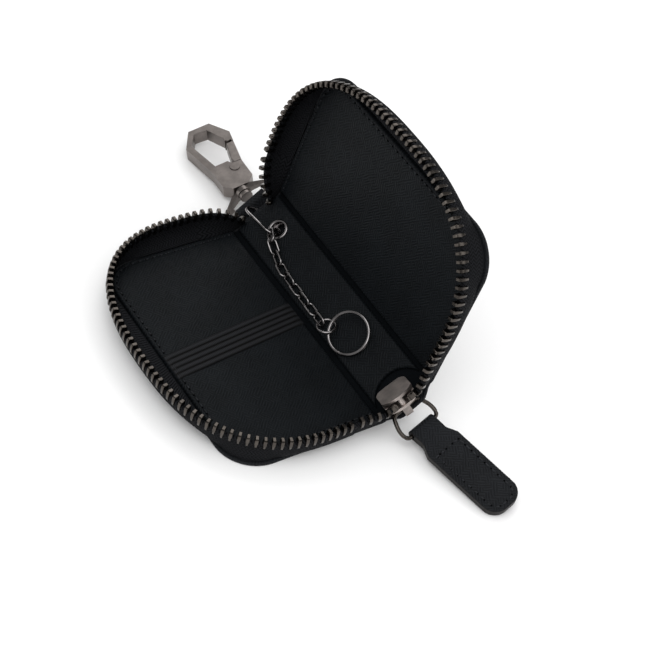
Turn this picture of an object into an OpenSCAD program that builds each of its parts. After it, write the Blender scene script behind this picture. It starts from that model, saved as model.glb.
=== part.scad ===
// Zip-around key case: a flat half, a narrow spine and a standing half, closed by a metal zip.
// Each half is drawn in its own hinge frame: x runs from the fold, y along the fold and z into the case.
// The flat half lies on z = 0 and the origin is the middle of its bottom face.

/* [Case] */
// Length of the case along its spine
case_l = 90; // [80:1:110]
// Reach of each half from its fold
half_w = 53.4; // [48:0.2:70]
// Width of the spine from fold to fold
spine_w = 19; // [18.4:0.2:24]
// Corner radius of each half
corner_r = 13; // [9:0.5:15]

/* [Open pose] */
// Slope of the spine
spine_deg = 40; // [30:1:50]
// Slope of the standing half
front_deg = 80; // [65:1:90]

/* [Plies] */
// Thickness of the outer leather
cover_t = 1.2; // [1:0.1:1.4]
// Thickness of the stiffening board
board_t = 0.6; // [0.4:0.1:0.8]
// Thickness of the lining leather
lining_t = 0.8; // [0.6:0.1:1]
// Margin from the cover's edge to the lining's edge
lining_inset = 1.8; // [1.8:0.1:3]
// Gap at a fold between the plies of two bodies
fold_gap = 0.28; // [0.2:0.02:0.4]

/* [Zip] */
// Spacing of the teeth along one row
tooth_pitch = 2.54; // [2.4:0.02:3]
// Width of a tooth along the row
tooth_w = 1.05; // [0.8:0.05:1.1]
// Thickness of a tooth across the tape
tooth_t = 2.3; // [2:0.1:2.8]
// Depth of a tooth's legs on the tape
leg_d = 2; // [1.5:0.1:2.5]
// Reach of a tooth past the middle of the zip
tooth_past = 0.9; // [0.6:0.1:1]
// Height of a tooth's head
head_d = 1.9; // [1.6:0.1:2.2]
// Thickness of the woven tape
tape_t = 0.8; // [0.5:0.1:1]
// Flare of the zip past the outer edge of each half
flare_out = 8.1; // [5:0.1:10]
// Flare of the zip past the ends of each half
flare_end = 3; // [2:0.1:4]
// Distance from the fold at which each row leaves its half
row_start = 14; // [12:0.5:16]

/* [Elastic band] */
// Width of the band
band_w = 10; // [6:0.5:14]
// Thickness of the band
band_t = 0.6; // [0.5:0.1:1]

/* [Slider] */
// Width of the slider
slider_w = 10.8; // [9:0.2:12]
// Length of the slider
slider_l = 9.4; // [8:0.2:11]
// Thickness of each of its plates
plate_t = 0.9; // [0.7:0.1:1.1]
// Clear height between its plates
slider_gap = 2.9; // [2.8:0.1:3.4]

/* [Pull] */
// Diameter of the pull's wire
pull_wire = 1.4; // [1.2:0.1:1.6]
// Distance from the crown to the pull's lower bar
pull_reach = 8.2; // [7:0.2:10]
// Width between the arms at the crown
pull_top_w = 9; // [8:0.2:10]
// Width between the arms at the lower bar
pull_low_w = 11.6; // [11:0.2:14]
// Length of the leather tab from the bar
tab_l = 36; // [28:1:44]
// Width of the leather tab
tab_w = 13; // [12:0.5:16]
// Width of the tab's neck
tab_neck_w = 9.6; // [8:0.2:10]
// Thickness of the tab
tab_t = 2.6; // [2.2:0.1:3]

/* [Clasp] */
// Reach of the snap hook from the ring's top bar
hook_l = 34; // [28:1:40]
// Thickness of the snap hook
hook_t = 4.7; // [4:0.1:5.4]
// Diameter of the swivel post
post_d = 2.2; // [1.8:0.1:2.6]
// Width of the hanger strap
strap_w = 11.6; // [10:0.2:13]
// Thickness of each ply of the hanger strap
strap_t = 0.9; // [0.7:0.05:0.95]

/* [Chain] */
// Diameter of the links' wire
link_wire = 0.85; // [0.7:0.05:0.9]
// Length of a link
link_l = 6.4; // [6.2:0.1:7]
// Width of a link
link_w = 3.8; // [3.7:0.1:4.2]
// Spacing of the links
link_pitch = 4.5; // [4.4:0.05:4.7]
// Diameter of the anchor ring's wire
anchor_wire = 1; // [0.8:0.05:1]
// Outer diameter of the jump ring
jump_d = 6.85; // [6.6:0.05:7.4]
// Outer diameter of the key ring
key_d = 14.4; // [13:0.1:14.6]

/* [Hidden] */
$fn = 48;

// Colours
leather_black = [0.085, 0.095, 0.11];
lining_black = [0.11, 0.125, 0.145];
board_grey = [0.3, 0.28, 0.25];
woven_black = [0.06, 0.06, 0.07];
gunmetal = [0.46, 0.43, 0.41];
dark_steel = [0.55, 0.53, 0.52];

// Heights of the plies over the fold's own line
cover_top = cover_t / 2;
board_top = cover_top + board_t;
lining_top = board_top + lining_t;
// The inner plies of a half stay this far from the fold, to close over the spine's plies
ply_setback = lining_top + fold_gap;
board_hide = 0.3;
board_inset = lining_inset + board_hide;
spine_setback = cover_top + fold_gap;
// Cuts run past a face by this much
over = 0.5;
// Running clearance of small metal fits
play = 0.1;
tiny = 0.001;

// The zip's path: a rounded oblong, of which each half carries one row
rim_power = 2.5;
rim_centre_share = 0.393;
rim_cx = half_w * rim_centre_share;
rim_ax = half_w + flare_out - rim_cx;
rim_ay = case_l / 2 + flare_end;
row_q = acos(-pow((rim_cx - row_start) / rim_ax, rim_power / 2));
zip_mid = spine_w / 2;
head_top = zip_mid + tooth_past;
tape_edge = head_top - head_d - play;
leg_low = tape_edge + play - leg_d;
tape_inset = 1.05;
tape_foot = cover_top + tape_t / 2;
tape_bow_share = 0.12;
tape_rise_share = 0.5;
tape_lean_span = 2;
tape_steps = 56;
wall_steps = 4;
rim_steps = 180;

function spow(v, p) = sign(v) * pow(abs(v), p);
function rim(q) = [rim_cx + rim_ax * spow(cos(q), 2 / rim_power), rim_ay * spow(sin(q), 2 / rim_power)];
function rim_q(i) = row_q * (1 - 2 * i / rim_steps);
rim_run = [
    for (i = 0, s = 0; i <= rim_steps; s = s + norm(rim(rim_q(i + 1)) - rim(rim_q(i))), i = i + 1)
        [s, rim_q(i)]
];
rim_len = rim_run[rim_steps][0];
function q_at(s) = lookup(s, rim_run);

// Foot of the tape: the point of the cover's inset outline on the ray from the zip's centre
function foot(q) =
    let (d = rim(q) - [rim_cx, 0])
    let (x = half_w - tape_inset, y = case_l / 2 - tape_inset, r = corner_r - tape_inset)
    let (side = d[0] > 0 ? (x - rim_cx) / d[0] : case_l, end = y / max(abs(d[1]), tiny))
    let (t = min(side, end), c = [x - r - rim_cx, sign(d[1]) * (y - r)], b = d * c)
    let (corner = t * d[0] > c[0] && abs(t * d[1]) > abs(c[1]))
    let (k = corner ? (b + sqrt(b * b - (d * d) * (c * c - r * r))) / (d * d) : t)
    [rim_cx, 0] + k * d;

function bend(a, b, c, t) = a * (1 - t) ^ 2 + b * 2 * t * (1 - t) + c * t ^ 2;
function curve(p, t) =
    p[0] * (1 - t) ^ 3 + p[1] * 3 * t * (1 - t) ^ 2 + p[2] * 3 * t ^ 2 * (1 - t) + p[3] * t ^ 3;
function along(a, b, t) = a + (b - a) * t;
function unit(v) = v / norm(v);

// Section of the tape at one place: it leaves the cover flat and turns up to the row of teeth
function wall_section(q) =
    let (f = foot(q), r = rim(q), c = [rim_cx, 0])
    let (out = min(1, max(0, (norm(r - c) - norm(f - c)) / tape_lean_span)))
    let (b = along(f, r, out), bow = along(tape_foot, leg_low, along(tape_rise_share, tape_bow_share, out)))
    [
        for (k = [0:wall_steps])
            bend([f[0], f[1], tape_foot], [b[0], b[1], bow], [r[0], r[1], leg_low], k / wall_steps),
        [r[0], r[1], tape_edge]
    ];

// Hinge frames
module on_base() {
    translate([half_w / 2, 0, cover_top]) mirror([1, 0, 0]) children();
}
module on_spine() {
    translate([half_w / 2, 0, cover_top]) rotate([0, -spine_deg, 0]) children();
}
module on_front() {
    on_spine() translate([spine_w, 0, 0]) rotate([0, spine_deg - front_deg, 0]) children();
}
// A point of a half's hinge frame, in the spine's frame
function spine_from_base(p) =
    [p[2] * sin(spine_deg) - p[0] * cos(spine_deg), p[1], p[0] * sin(spine_deg) + p[2] * cos(spine_deg)];
function spine_from_front(p) =
    let (a = front_deg - spine_deg)
    [spine_w + p[0] * cos(a) - p[2] * sin(a), p[1], p[0] * sin(a) + p[2] * cos(a)];

// A solid through rings of points
module skin(rings) {
    n = len(rings);
    c = len(rings[0]);
    half = c / 2;
    points = [for (r = rings) each r];
    sides = [
        for (i = [0:n - 2], j = [0:c - 1])
            let (a = i * c + j, b = i * c + (j + 1) % c)
            each [[a, b + c, a + c], [a, b, b + c]]
    ];
    low = [for (j = [0:half - 2]) each [[j, c - 2 - j, j + 1], [j, c - 1 - j, c - 2 - j]]];
    last = (n - 1) * c;
    high = [for (f = low) [f[2] + last, f[1] + last, f[0] + last]];
    polyhedron(points, concat(sides, low, high));
}
// A closed loop of wire along a flat path, with a section of the given half width and half height
loop_sides = 10;
module wire_loop(path, half_w, half_h) {
    n = len(path);
    rings = [
        for (i = [0:n - 1]) let (t = unit(path[(i + 1) % n] - path[(i + n - 1) % n]))
            for (k = [0:loop_sides - 1]) let (a = 360 * k / loop_sides)
                [path[i][0] + t[1] * half_w * cos(a), path[i][1] - t[0] * half_w * cos(a), half_h * sin(a)]
    ];
    faces = [
        for (i = [0:n - 1], k = [0:loop_sides - 1])
            let (a = i * loop_sides + k, b = i * loop_sides + (k + 1) % loop_sides)
            let (c = (i + 1) % n * loop_sides + k, d = (i + 1) % n * loop_sides + (k + 1) % loop_sides)
            each [[a, d, c], [a, b, d]]
    ];
    polyhedron(rings, faces);
}
// Corners eased over a given reach to each side
corner_steps = 6;
function eased(corners, reach) = [
    for (i = [0:len(corners) - 1])
        let (c = corners[i], a = corners[(i + len(corners) - 1) % len(corners)], b = corners[(i + 1) % len(corners)])
        for (k = [0:corner_steps])
            bend(c + unit(a - c) * reach[i], c, c + unit(b - c) * reach[i], k / corner_steps)
];
// A sheet of even thickness about a grid of points, cut off at a lowest height
module sheet(grid, thickness, lowest) {
    n = len(grid) - 1;
    m = len(grid[0]) - 1;
    function normal(i, k) =
        unit(cross(
            grid[min(i + 1, n)][k] - grid[max(i - 1, 0)][k],
            grid[i][min(k + 1, m)] - grid[i][max(k - 1, 0)]
        ));
    function lift(p) = [p[0], p[1], max(p[2], lowest)];
    skin([
        for (i = [0:n]) concat(
            [for (k = [0:m]) lift(grid[i][k] + normal(i, k) * thickness / 2)],
            [for (k = [m:-1:0]) lift(grid[i][k] - normal(i, k) * thickness / 2)]
        )
    ]);
}

// Plies of the halves
module panel(inset, start, height) {
    r = corner_r - inset;
    w = half_w - inset;
    l = case_l / 2 - inset;
    linear_extrude(height) {
        translate([start, -l]) square([w - r - start, 2 * l]);
        translate([start, r - l]) square([w - start, 2 * (l - r)]);
        for (side = [-1, 1]) translate([w - r, side * (l - r)]) circle(r);
    }
}
module half_cover() {
    translate([0, 0, -cover_top]) panel(0, spine_setback, cover_t);
}
module half_board() {
    translate([0, 0, cover_top]) panel(board_inset, ply_setback, board_t);
}
module half_lining() {
    translate([0, 0, board_top]) panel(lining_inset, ply_setback, lining_t);
}

// The zip
module half_tape() {
    grid = [for (i = [0:tape_steps]) wall_section(q_at(rim_len * i / tape_steps))];
    sheet(grid, tape_t, cover_top);
}
tooth_chamfer = 0.45;
module tooth() {
    b = tape_t / 2 + play / 4;
    t = tooth_t / 2;
    c = tooth_chamfer;
    rotate([90, 0, 90]) linear_extrude(tooth_w, center = true) polygon([
        [-t, leg_low + c], [-b - play, leg_low], [-b, tape_edge + play], [b, tape_edge + play],
        [b + play, leg_low], [t, leg_low + c], [t, head_top - c], [t - c, head_top],
        [c - t, head_top], [-t, head_top - c]
    ]);
}
tooth_count = floor(rim_len / tooth_pitch);
module tooth_row(phase) {
    lead = (rim_len - tooth_count * tooth_pitch) / 2 + tooth_w / 2;
    for (i = [0:tooth_count - 1]) {
        s = lead + (i + phase) * tooth_pitch;
        a = rim(q_at(s - tooth_w / 2));
        b = rim(q_at(s + tooth_w / 2));
        c = (a + b) / 2;
        translate([c[0], c[1], 0]) rotate([0, 0, atan2(b[1] - a[1], b[0] - a[0])]) tooth();
    }
}
row_phase = 0.5;

// Places on the spine, in its frame
crown_past = 1.9;
crown_at = [8.04, -case_l / 2 - crown_past, 2.45];
slider_tilt = -32;
slider_roll = 7;
eye_from_end = 12.5;
eye_at = [11.2, case_l / 2 - eye_from_end];
eye_hole = 5;
eye_wall = 0.3;
eye_flange = 0.85;
eye_flange_t = 0.42;
washer_t = 0.25;
arch_r = 9.2;
arch_at = [spine_w / 2, lining_inset - case_l / 2];

// Free stretches of the zip, from the end of each row to the slider and to the far end of the spine.
// Each section of their tape has the same six points as a section of a half's tape, foot first.
// In the slider the tape's free edge lies in the channel, and its foot is sewn to the spine's end.
mouth_section = [
    [-3.6, 3, 0.6], [-5.5, 1.3, 0.85], [-6.7, -0.9, 2.4], [-6.3, -2.3, 3.9], [-5.1, -2.7, 4.2], [-3.6, -2.7, 4.2]
];
tail_insets = [2.8, 4.4];
tail_foot_insets = [1.2, 2.6];
tail_at = [[4.6, case_l / 2 - tail_insets[0], 3.9], [14.6, case_l / 2 - tail_insets[1], 3.7]];
tail_foot = [[4.4, case_l / 2 - tail_foot_insets[0], 2.5], [15.4, case_l / 2 - tail_foot_insets[1], 2.5]];
tail_up = [[-0.35, 0.35, 0.87], [0.35, 0.35, 0.87]];
end_steps = 12;
end_start_share = 0.012;
edge_reach_share = 0.4;
foot_reach_share = 0.6;
foot_fold_share = 0.15;
function from_slider(p) =
    let (y = p[1] * cos(slider_tilt) - p[2] * sin(slider_tilt))
    let (z = p[1] * sin(slider_tilt) + p[2] * cos(slider_tilt))
    crown_at + [p[0] * cos(slider_roll) + z * sin(slider_roll), y, z * cos(slider_roll) - p[0] * sin(slider_roll)];
function row_tangent(q) = unit(rim(q) - rim(q * 0.98));
function place(side, p) = side == 0 ? spine_from_base(p) : spine_from_front(p);
function first_section(side, end) = [for (p = wall_section(end * row_q)) place(side, p)];
function last_section(side, end) =
    end < 0 ? [for (p = mouth_section) from_slider([(side == 0 ? 1 : -1) * p[0], p[1], p[2]])]
    : [for (k = [0:wall_steps + 1]) along(tail_foot[side], tail_at[side], k / (wall_steps + 1))];
// Directions of the row as it leaves the half, and as it meets the slider or dives to the spine
function leave(side, end) =
    let (t = row_tangent(end * row_q))
    place(side, [t[0], t[1], 0]) - place(side, [0, 0, 0]);
function arrive(side, end) = end < 0 ? from_slider([0, -1, 0]) - crown_at : tail_up[side];
function edge_curve(side, end) =
    let (a = first_section(side, end)[wall_steps + 1], z = last_section(side, end)[wall_steps + 1])
    let (reach = norm(z - a) * edge_reach_share)
    [a, a + leave(side, end) * reach, z + arrive(side, end) * reach, z];
function foot_curve(side, end) =
    let (a = first_section(side, end)[0], z = last_section(side, end)[0])
    let (fold = place(side, [row_start * foot_fold_share, a[1], tape_foot]))
    [a, along(a, fold, foot_reach_share), along(z, fold, foot_reach_share), z];
function end_section(side, end, t) =
    let (s = first_section(side, end), m = last_section(side, end), n = wall_steps + 1)
    let (a = curve(foot_curve(side, end), t), b = curve(edge_curve(side, end), t))
    [
        for (k = [0:n]) let (g = k / n)
            along(a, b, g) + (s[k] - along(s[0], s[n], g)) * (1 - t) ^ 2 + (m[k] - along(m[0], m[n], g)) * t ^ 2
    ];
module end_tape(side) {
    for (end = [-1, 1]) sheet(
        [for (i = [0:end_steps]) end_section(side, end, along(end_start_share, 1, i / end_steps))],
        tape_t, -case_l
    );
}
// Teeth of a free stretch, each square to its row and in line with the tape's edge
module end_teeth(side) {
    for (end = [-1, 1]) {
        e = edge_curve(side, end);
        run = [
            for (
                i = 0, s = 0;
                i <= rim_steps;
                s = s + norm(curve(e, (i + 1) / rim_steps) - curve(e, i / rim_steps)), i = i + 1
            ) [s, i / rim_steps]
        ];
        count = floor(run[rim_steps][0] / tooth_pitch);
        for (i = [0:count - 1]) {
            t = lookup((i + 0.5) * run[rim_steps][0] / count, run);
            c = end_section(side, end, t);
            x = unit(curve(e, t + 0.01) - curve(e, t - 0.01));
            u = c[wall_steps + 1] - c[wall_steps];
            z = unit(u - x * (u * x));
            y = cross(z, x);
            o = c[wall_steps + 1] - z * tape_edge;
            multmatrix([
                [x[0], y[0], z[0], o[0]], [x[1], y[1], z[1], o[1]], [x[2], y[2], z[2], o[2]], [0, 0, 0, 1]
            ]) tooth();
        }
    }
}

// Flat half
module base_cover() {
    color(leather_black) on_base() half_cover();
}
module base_board() {
    color(board_grey) on_base() half_board();
}
module base_lining() {
    color(lining_black) on_base() half_lining();
}
module base_tape() {
    color(woven_black) on_base() half_tape();
}
module base_teeth() {
    color(gunmetal) on_base() tooth_row(0);
}
// The band crosses the flat half, its ends caught under the edges of the lining
band_deg = -6.2;
band_y_share = 0.007;
band_ribs = 5;
module elastic_band() {
    rib = band_w / band_ribs;
    mid = (ply_setback + half_w - lining_inset) / 2;
    l = half_w - lining_inset - ply_setback - band_w * abs(sin(band_deg));
    color(woven_black) on_base() translate([mid, case_l * band_y_share, lining_top]) rotate([90, 0, band_deg + 90])
        linear_extrude(l, center = true) {
            translate([-band_w / 2, 0]) square([band_w, band_t / 2]);
            for (i = [0:band_ribs - 1]) intersection() {
                translate([(i + 0.5) * rib - band_w / 2, band_t - rib / 2]) circle(rib / 2 * 0.94);
                translate([i * rib - band_w / 2, 0]) square([rib, band_t]);
            }
        }
}

// Spine
module eye_bore(r) {
    translate([eye_at[0], eye_at[1], -case_l / 2]) cylinder(r = r, h = case_l);
}
module spine_cover() {
    color(leather_black) on_spine() difference() {
        rotate([90, 0, 0]) linear_extrude(case_l, center = true) {
            translate([0, -cover_top]) square([spine_w, cover_t]);
            for (u = [0, spine_w]) translate([u, 0]) circle(cover_top);
        }
        eye_bore(eye_hole / 2 + eye_wall);
    }
}
module spine_ply(low, height, inset, arch) {
    translate([0, 0, low]) difference() {
        translate([spine_setback, inset - case_l / 2, 0])
            cube([spine_w - 2 * spine_setback, case_l - 2 * inset, height]);
        translate([arch_at[0], arch_at[1], -over]) cylinder(r = arch, h = height + 2 * over);
        eye_bore(eye_hole / 2 + eye_wall);
    }
}
module spine_board() {
    color(board_grey) on_spine() spine_ply(cover_top, board_t, board_inset, arch_r + lining_t);
}
module spine_lining() {
    color(lining_black) on_spine() spine_ply(board_top, lining_t, lining_inset, arch_r);
}
module eyelet() {
    r = eye_hole / 2;
    color(gunmetal) on_spine() translate([eye_at[0], eye_at[1], 0]) rotate_extrude() {
        translate([r, -cover_top - washer_t])
            square([eye_wall, lining_top + cover_top + washer_t + eye_flange_t / 2]);
        translate([r, lining_top]) square([eye_flange + eye_wall / 2, eye_flange_t / 2]);
        translate([r + eye_flange / 2 + eye_wall / 4, lining_top]) intersection() {
            scale([(eye_flange + eye_wall / 2) / 2 / eye_flange_t, 1]) circle(eye_flange_t);
            translate([-case_l, 0]) square([2 * case_l, eye_flange_t]);
        }
    }
}
module eyelet_washer() {
    r = eye_hole / 2 + eye_wall;
    color(gunmetal) on_spine() translate([eye_at[0], eye_at[1], -cover_top - washer_t]) difference() {
        cylinder(r = r + eye_flange, h = washer_t);
        translate([0, 0, -over]) cylinder(r = r, h = washer_t + 2 * over);
    }
}

// Anchor ring: a long loop through the eyelet and round the end of the spine
anchor_r = 3.4;
anchor_lean = 25;
anchor_from_end = 13.5;
anchor_past = 1.7;
anchor_from = [10, case_l / 2 - anchor_from_end];
anchor_to = [8.4, case_l / 2 + anchor_past];
anchor_rise = 1.6;
anchor_steps = 20;
module anchor_ring() {
    run = anchor_to - anchor_from;
    straight = norm(run) - 2 * anchor_r;
    mid = (anchor_from + anchor_to) / 2;
    color(dark_steel) on_spine() translate([mid[0], mid[1], anchor_rise])
        rotate([0, 0, atan2(run[1], run[0])]) rotate([90 - anchor_lean, 0, 0]) wire_loop(
            [
                for (side = [-1, 1], k = [0:anchor_steps]) let (a = side * 90 + 180 * k / anchor_steps)
                    [-side * straight / 2, 0] + anchor_r * [cos(a), sin(a)]
            ],
            anchor_wire / 2, anchor_wire / 2
        );
}
// A closed loop of round wire with two straight sides along x
module stadium(r, straight, wire) {
    for (side = [-1, 1]) {
        translate([side * straight / 2, 0, 0]) rotate([0, 0, -side * 90])
            rotate_extrude(angle = 180) translate([r, 0]) circle(d = wire);
        translate([-straight / 2, side * r, 0]) rotate([0, 90, 0]) cylinder(d = wire, h = straight);
    }
}

// Hanger strap: sewn to the outside of the spine, then clear of the anchor ring, then round the clasp's bar
bar_d = 1.7;
bar_past = 3.8;
bar_at = [9.6, case_l / 2 + bar_past, -0.9];
strap_sew_l = 8;
strap_from = 25;
strap_slope = 2.4;
strap_past = 0.4;
strap_step = 1.2;
strap_tuck = 1;
wrap_steps = 24;
strap_dip = anchor_r * cos(anchor_lean) - anchor_rise + anchor_wire / 2 + play;
module hanger_strap() {
    bore = bar_d / 2 + 2 * play;
    loop = bore + strap_t;
    y0 = case_l / 2 - strap_from;
    y1 = y0 + strap_sew_l;
    y2 = y1 + strap_slope;
    y3 = case_l / 2 + strap_past;
    top = -cover_top;
    bar = [bar_at[1], bar_at[2]];
    color(leather_black) on_spine() translate([bar_at[0] + strap_w / 2, 0, 0]) rotate([90, 0, -90])
        linear_extrude(strap_w) mirror([1, 0]) difference() {
            polygon([
                [y0, top], [y1, top], [y2, -strap_dip], [y3, -strap_dip],
                for (k = [0:wrap_steps]) let (a = 150 - 240 * k / wrap_steps) bar + loop * [cos(a), sin(a)],
                [y3 + strap_tuck, bar[1] - loop], [y3 - strap_step, -strap_dip - 2 * strap_t],
                [y2, -strap_dip - 2 * strap_t], [y1, top - 2 * strap_t], [y0, top - 2 * strap_t]
            ]);
            translate(bar) circle(bore);
        }
}
module end_tape_base() {
    color(woven_black) on_spine() end_tape(0);
}
module end_tape_front() {
    color(woven_black) on_spine() end_tape(1);
}
module end_teeth_base() {
    color(gunmetal) on_spine() end_teeth(0);
}
module end_teeth_front() {
    color(gunmetal) on_spine() end_teeth(1);
}

// Slider, in a frame with x across it, -y to its front and z into the case
crown_rise = 1.85;
crown_w = 2.6;
crown_span = 3;
crown_gap = 0.6;
crown_t = 0.8;
slider_lead = 0.8;
divider_w = 2;
divider_l = 3;
divider_edge = 0.3;
inner_arc_share = 0.62;
inner_corner = 2;
outer_arc_share = 0.8;
outer_corner = 2.6;
lip_from_share = 0.1;
lip_l_share = 0.42;
module on_slider() {
    on_spine() translate(crown_at) rotate([slider_tilt, slider_roll, 0]) children();
}
module plate(front_r, corner) {
    w = slider_w / 2;
    l = slider_l / 2;
    linear_extrude(plate_t) intersection() {
        union() {
            for (sx = [-1, 1]) translate([sx * (w - corner), l - corner]) circle(corner);
            translate([-w, -l]) square([2 * w, 2 * l - corner]);
            translate([corner - w, 0]) square([2 * (w - corner), l]);
        }
        translate([0, front_r - l]) circle(front_r, $fn = 96);
    }
}
module slider_body() {
    lip = (slider_gap - tape_t) / 2 - 2 * play;
    low = -slider_l * lip_from_share;
    color(gunmetal) on_slider() translate([0, slider_lead, crown_rise]) {
        plate(slider_w * inner_arc_share, inner_corner);
        translate([0, 0, plate_t + slider_gap]) plate(slider_w * outer_arc_share, outer_corner);
        translate([0, divider_l - slider_l / 2, 0]) linear_extrude(slider_gap + 1.5 * plate_t) {
            translate([0, -divider_l / 2]) circle(divider_w / 2);
            polygon([
                [-divider_w / 2, -divider_l / 2], [divider_w / 2, -divider_l / 2],
                [divider_edge, 0], [-divider_edge, 0]
            ]);
        }
        for (sx = [-1, 1], z = [plate_t / 2, 1.5 * plate_t + slider_gap - lip - plate_t / 2])
            translate([sx * (slider_w / 2 - plate_t * 0.6) - plate_t / 2, low, z])
                cube([plate_t, slider_l * lip_l_share, lip + plate_t / 2]);
    }
}
module slider_crown() {
    low = -pull_wire / 2 - crown_t - crown_gap;
    color(gunmetal) on_slider() rotate([90, 0, 90]) linear_extrude(crown_w, center = true) difference() {
        union() {
            translate([-crown_span / 2 - crown_t, low + crown_t])
                square([crown_span + 2 * crown_t, crown_rise - low - crown_t]);
            translate([-crown_span / 2, low]) square([crown_span, crown_t]);
            for (s = [-1, 1]) translate([s * crown_span / 2, low + crown_t]) circle(crown_t);
        }
        translate([-crown_span / 2, low + crown_t]) square([crown_span, crown_rise - low]);
    }
}

// Front half
module front_cover() {
    color(leather_black) on_front() half_cover();
}
module front_board() {
    color(board_grey) on_front() half_board();
}
module front_lining() {
    color(lining_black) on_front() half_lining();
}
module front_tape() {
    color(woven_black) on_front() half_tape();
}
module front_teeth() {
    color(gunmetal) on_front() tooth_row(row_phase);
}

// Pull: a wire loop in the crown and a leather tab folded round its lower bar
pull_pitch = 19;
pull_roll = 13;
pull_yaw = 13;
tab_pitch = 4;
module on_shackle() {
    on_spine() translate(crown_at) rotate([0, spine_deg, 0]) rotate([pull_pitch, -pull_roll, pull_yaw]) children();
}
module on_tab() {
    on_shackle() translate([0, -pull_reach, 0]) rotate([tab_pitch - pull_pitch, 0, 0]) children();
}
pull_bulge = 0.7;
pull_corner = 1.6;
module pull_shackle() {
    top = (pull_top_w + pull_wire) / 2;
    low = (pull_low_w + pull_wire) / 2;
    corners = [
        [-top, 0], [-low - pull_bulge, -pull_reach * 0.62], [-low, -pull_reach],
        [low, -pull_reach], [low + pull_bulge, -pull_reach * 0.62], [top, 0]
    ];
    color(gunmetal) on_shackle() wire_loop(
        eased(corners, [pull_corner, 3 * pull_bulge, pull_corner, pull_corner, 3 * pull_bulge, pull_corner]),
        pull_wire / 2, pull_wire / 2
    );
}
tab_ply = 0.9;
tab_shoulder = 8.3;
tab_slope = 3.5;
tab_tip_r = 5;
module tab_shape(inset) {
    n = tab_neck_w / 2 - inset;
    w = tab_w / 2 - inset;
    r = tab_tip_r - inset;
    polygon([
        [-n, inset - tab_shoulder + tab_slope], [-w, -tab_shoulder - inset], [-w, tab_tip_r - tab_l],
        [w, tab_tip_r - tab_l], [w, -tab_shoulder - inset], [n, inset - tab_shoulder + tab_slope]
    ]);
    translate([r - w, inset - tab_l]) square([2 * (w - r), tab_tip_r]);
    for (s = [-1, 1]) translate([s * (w - r), tab_tip_r - tab_l]) circle(r);
}
module pull_tab() {
    bore = pull_wire / 2 + play;
    loop = bore + tab_ply;
    color(leather_black) on_tab() difference() {
        union() {
            translate([0, 0, -tab_t / 2]) linear_extrude(tab_t) tab_shape(0);
            translate([-tab_neck_w / 2, 0, 0]) rotate([90, 0, 90]) linear_extrude(tab_neck_w) {
                circle(loop);
                polygon([[0, loop], [-tab_shoulder, tab_t / 2], [-tab_shoulder, -tab_t / 2], [0, -loop]]);
            }
        }
        rotate([0, 90, 0]) cylinder(r = bore, h = tab_w, center = true);
        translate([0, 0, tab_ply - tab_t / 2]) linear_extrude(tab_t - 2 * tab_ply) tab_shape(tab_ply * 2);
    }
}
module tab_filler() {
    color(board_grey) on_tab() translate([0, 0, tab_ply - tab_t / 2])
        linear_extrude(tab_t - 2 * tab_ply) tab_shape(tab_ply * 2);
}

// Clasp, in a frame at its bar: x along the bar, y to the hook's tip
clasp_drop = -4.75;
clasp_yaw = -1;
hook_roll = 25;
ring_reach = 5.2;
ring_low_w = 15.8;
ring_top_w = 7.6;
ring_wire = 2;
ring_t = 2;
ring_shoulder = 4.2;
collar_r = 2.4;
head_d_post = 4.4;
head_t = 1.4;
post_reach = 5;
module on_clasp() {
    on_spine() translate(bar_at) rotate([clasp_drop, 0, clasp_yaw]) children();
}
module on_hook() {
    on_clasp() translate([0, ring_reach, 0]) rotate([0, hook_roll, 0]) children();
}
module clasp_ring() {
    low = ring_low_w / 2;
    top = ring_top_w / 2;
    reach = ring_reach + ring_wire;
    module loop(grow) {
        polygon([
            [-low - grow, grow], [-low - grow, ring_shoulder], [-top - grow / 2, reach + grow],
            [top + grow / 2, reach + grow], [low + grow, ring_shoulder], [low + grow, grow]
        ]);
    }
    color(gunmetal) on_clasp() {
        difference() {
            union() {
                translate([0, 0, -ring_t / 2]) linear_extrude(ring_t) {
                    difference() {
                        loop(0);
                        loop(-ring_wire);
                    }
                    for (s = [-1, 1]) translate([s * (low - ring_wire / 2), 0]) circle(ring_wire / 2);
                }
                translate([0, ring_reach + play, 0]) rotate([-90, 0, 0])
                    cylinder(r = collar_r, h = ring_wire - 2 * play, $fn = 40);
            }
            rotate([-90, 0, 0]) cylinder(d = post_d + 2 * play, h = reach + over, $fn = 40);
        }
        rotate([0, 90, 0]) cylinder(d = bar_d, h = 2 * low - ring_wire, center = true, $fn = 40);
    }
}
module swivel_post() {
    seat = -play - head_t;
    color(gunmetal) on_hook() rotate([-90, 0, 0]) {
        translate([0, 0, seat]) cylinder(d = head_d_post, h = head_t);
        translate([0, 0, -play]) cylinder(d = post_d, h = post_reach + play, $fn = 40);
    }
}
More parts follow.
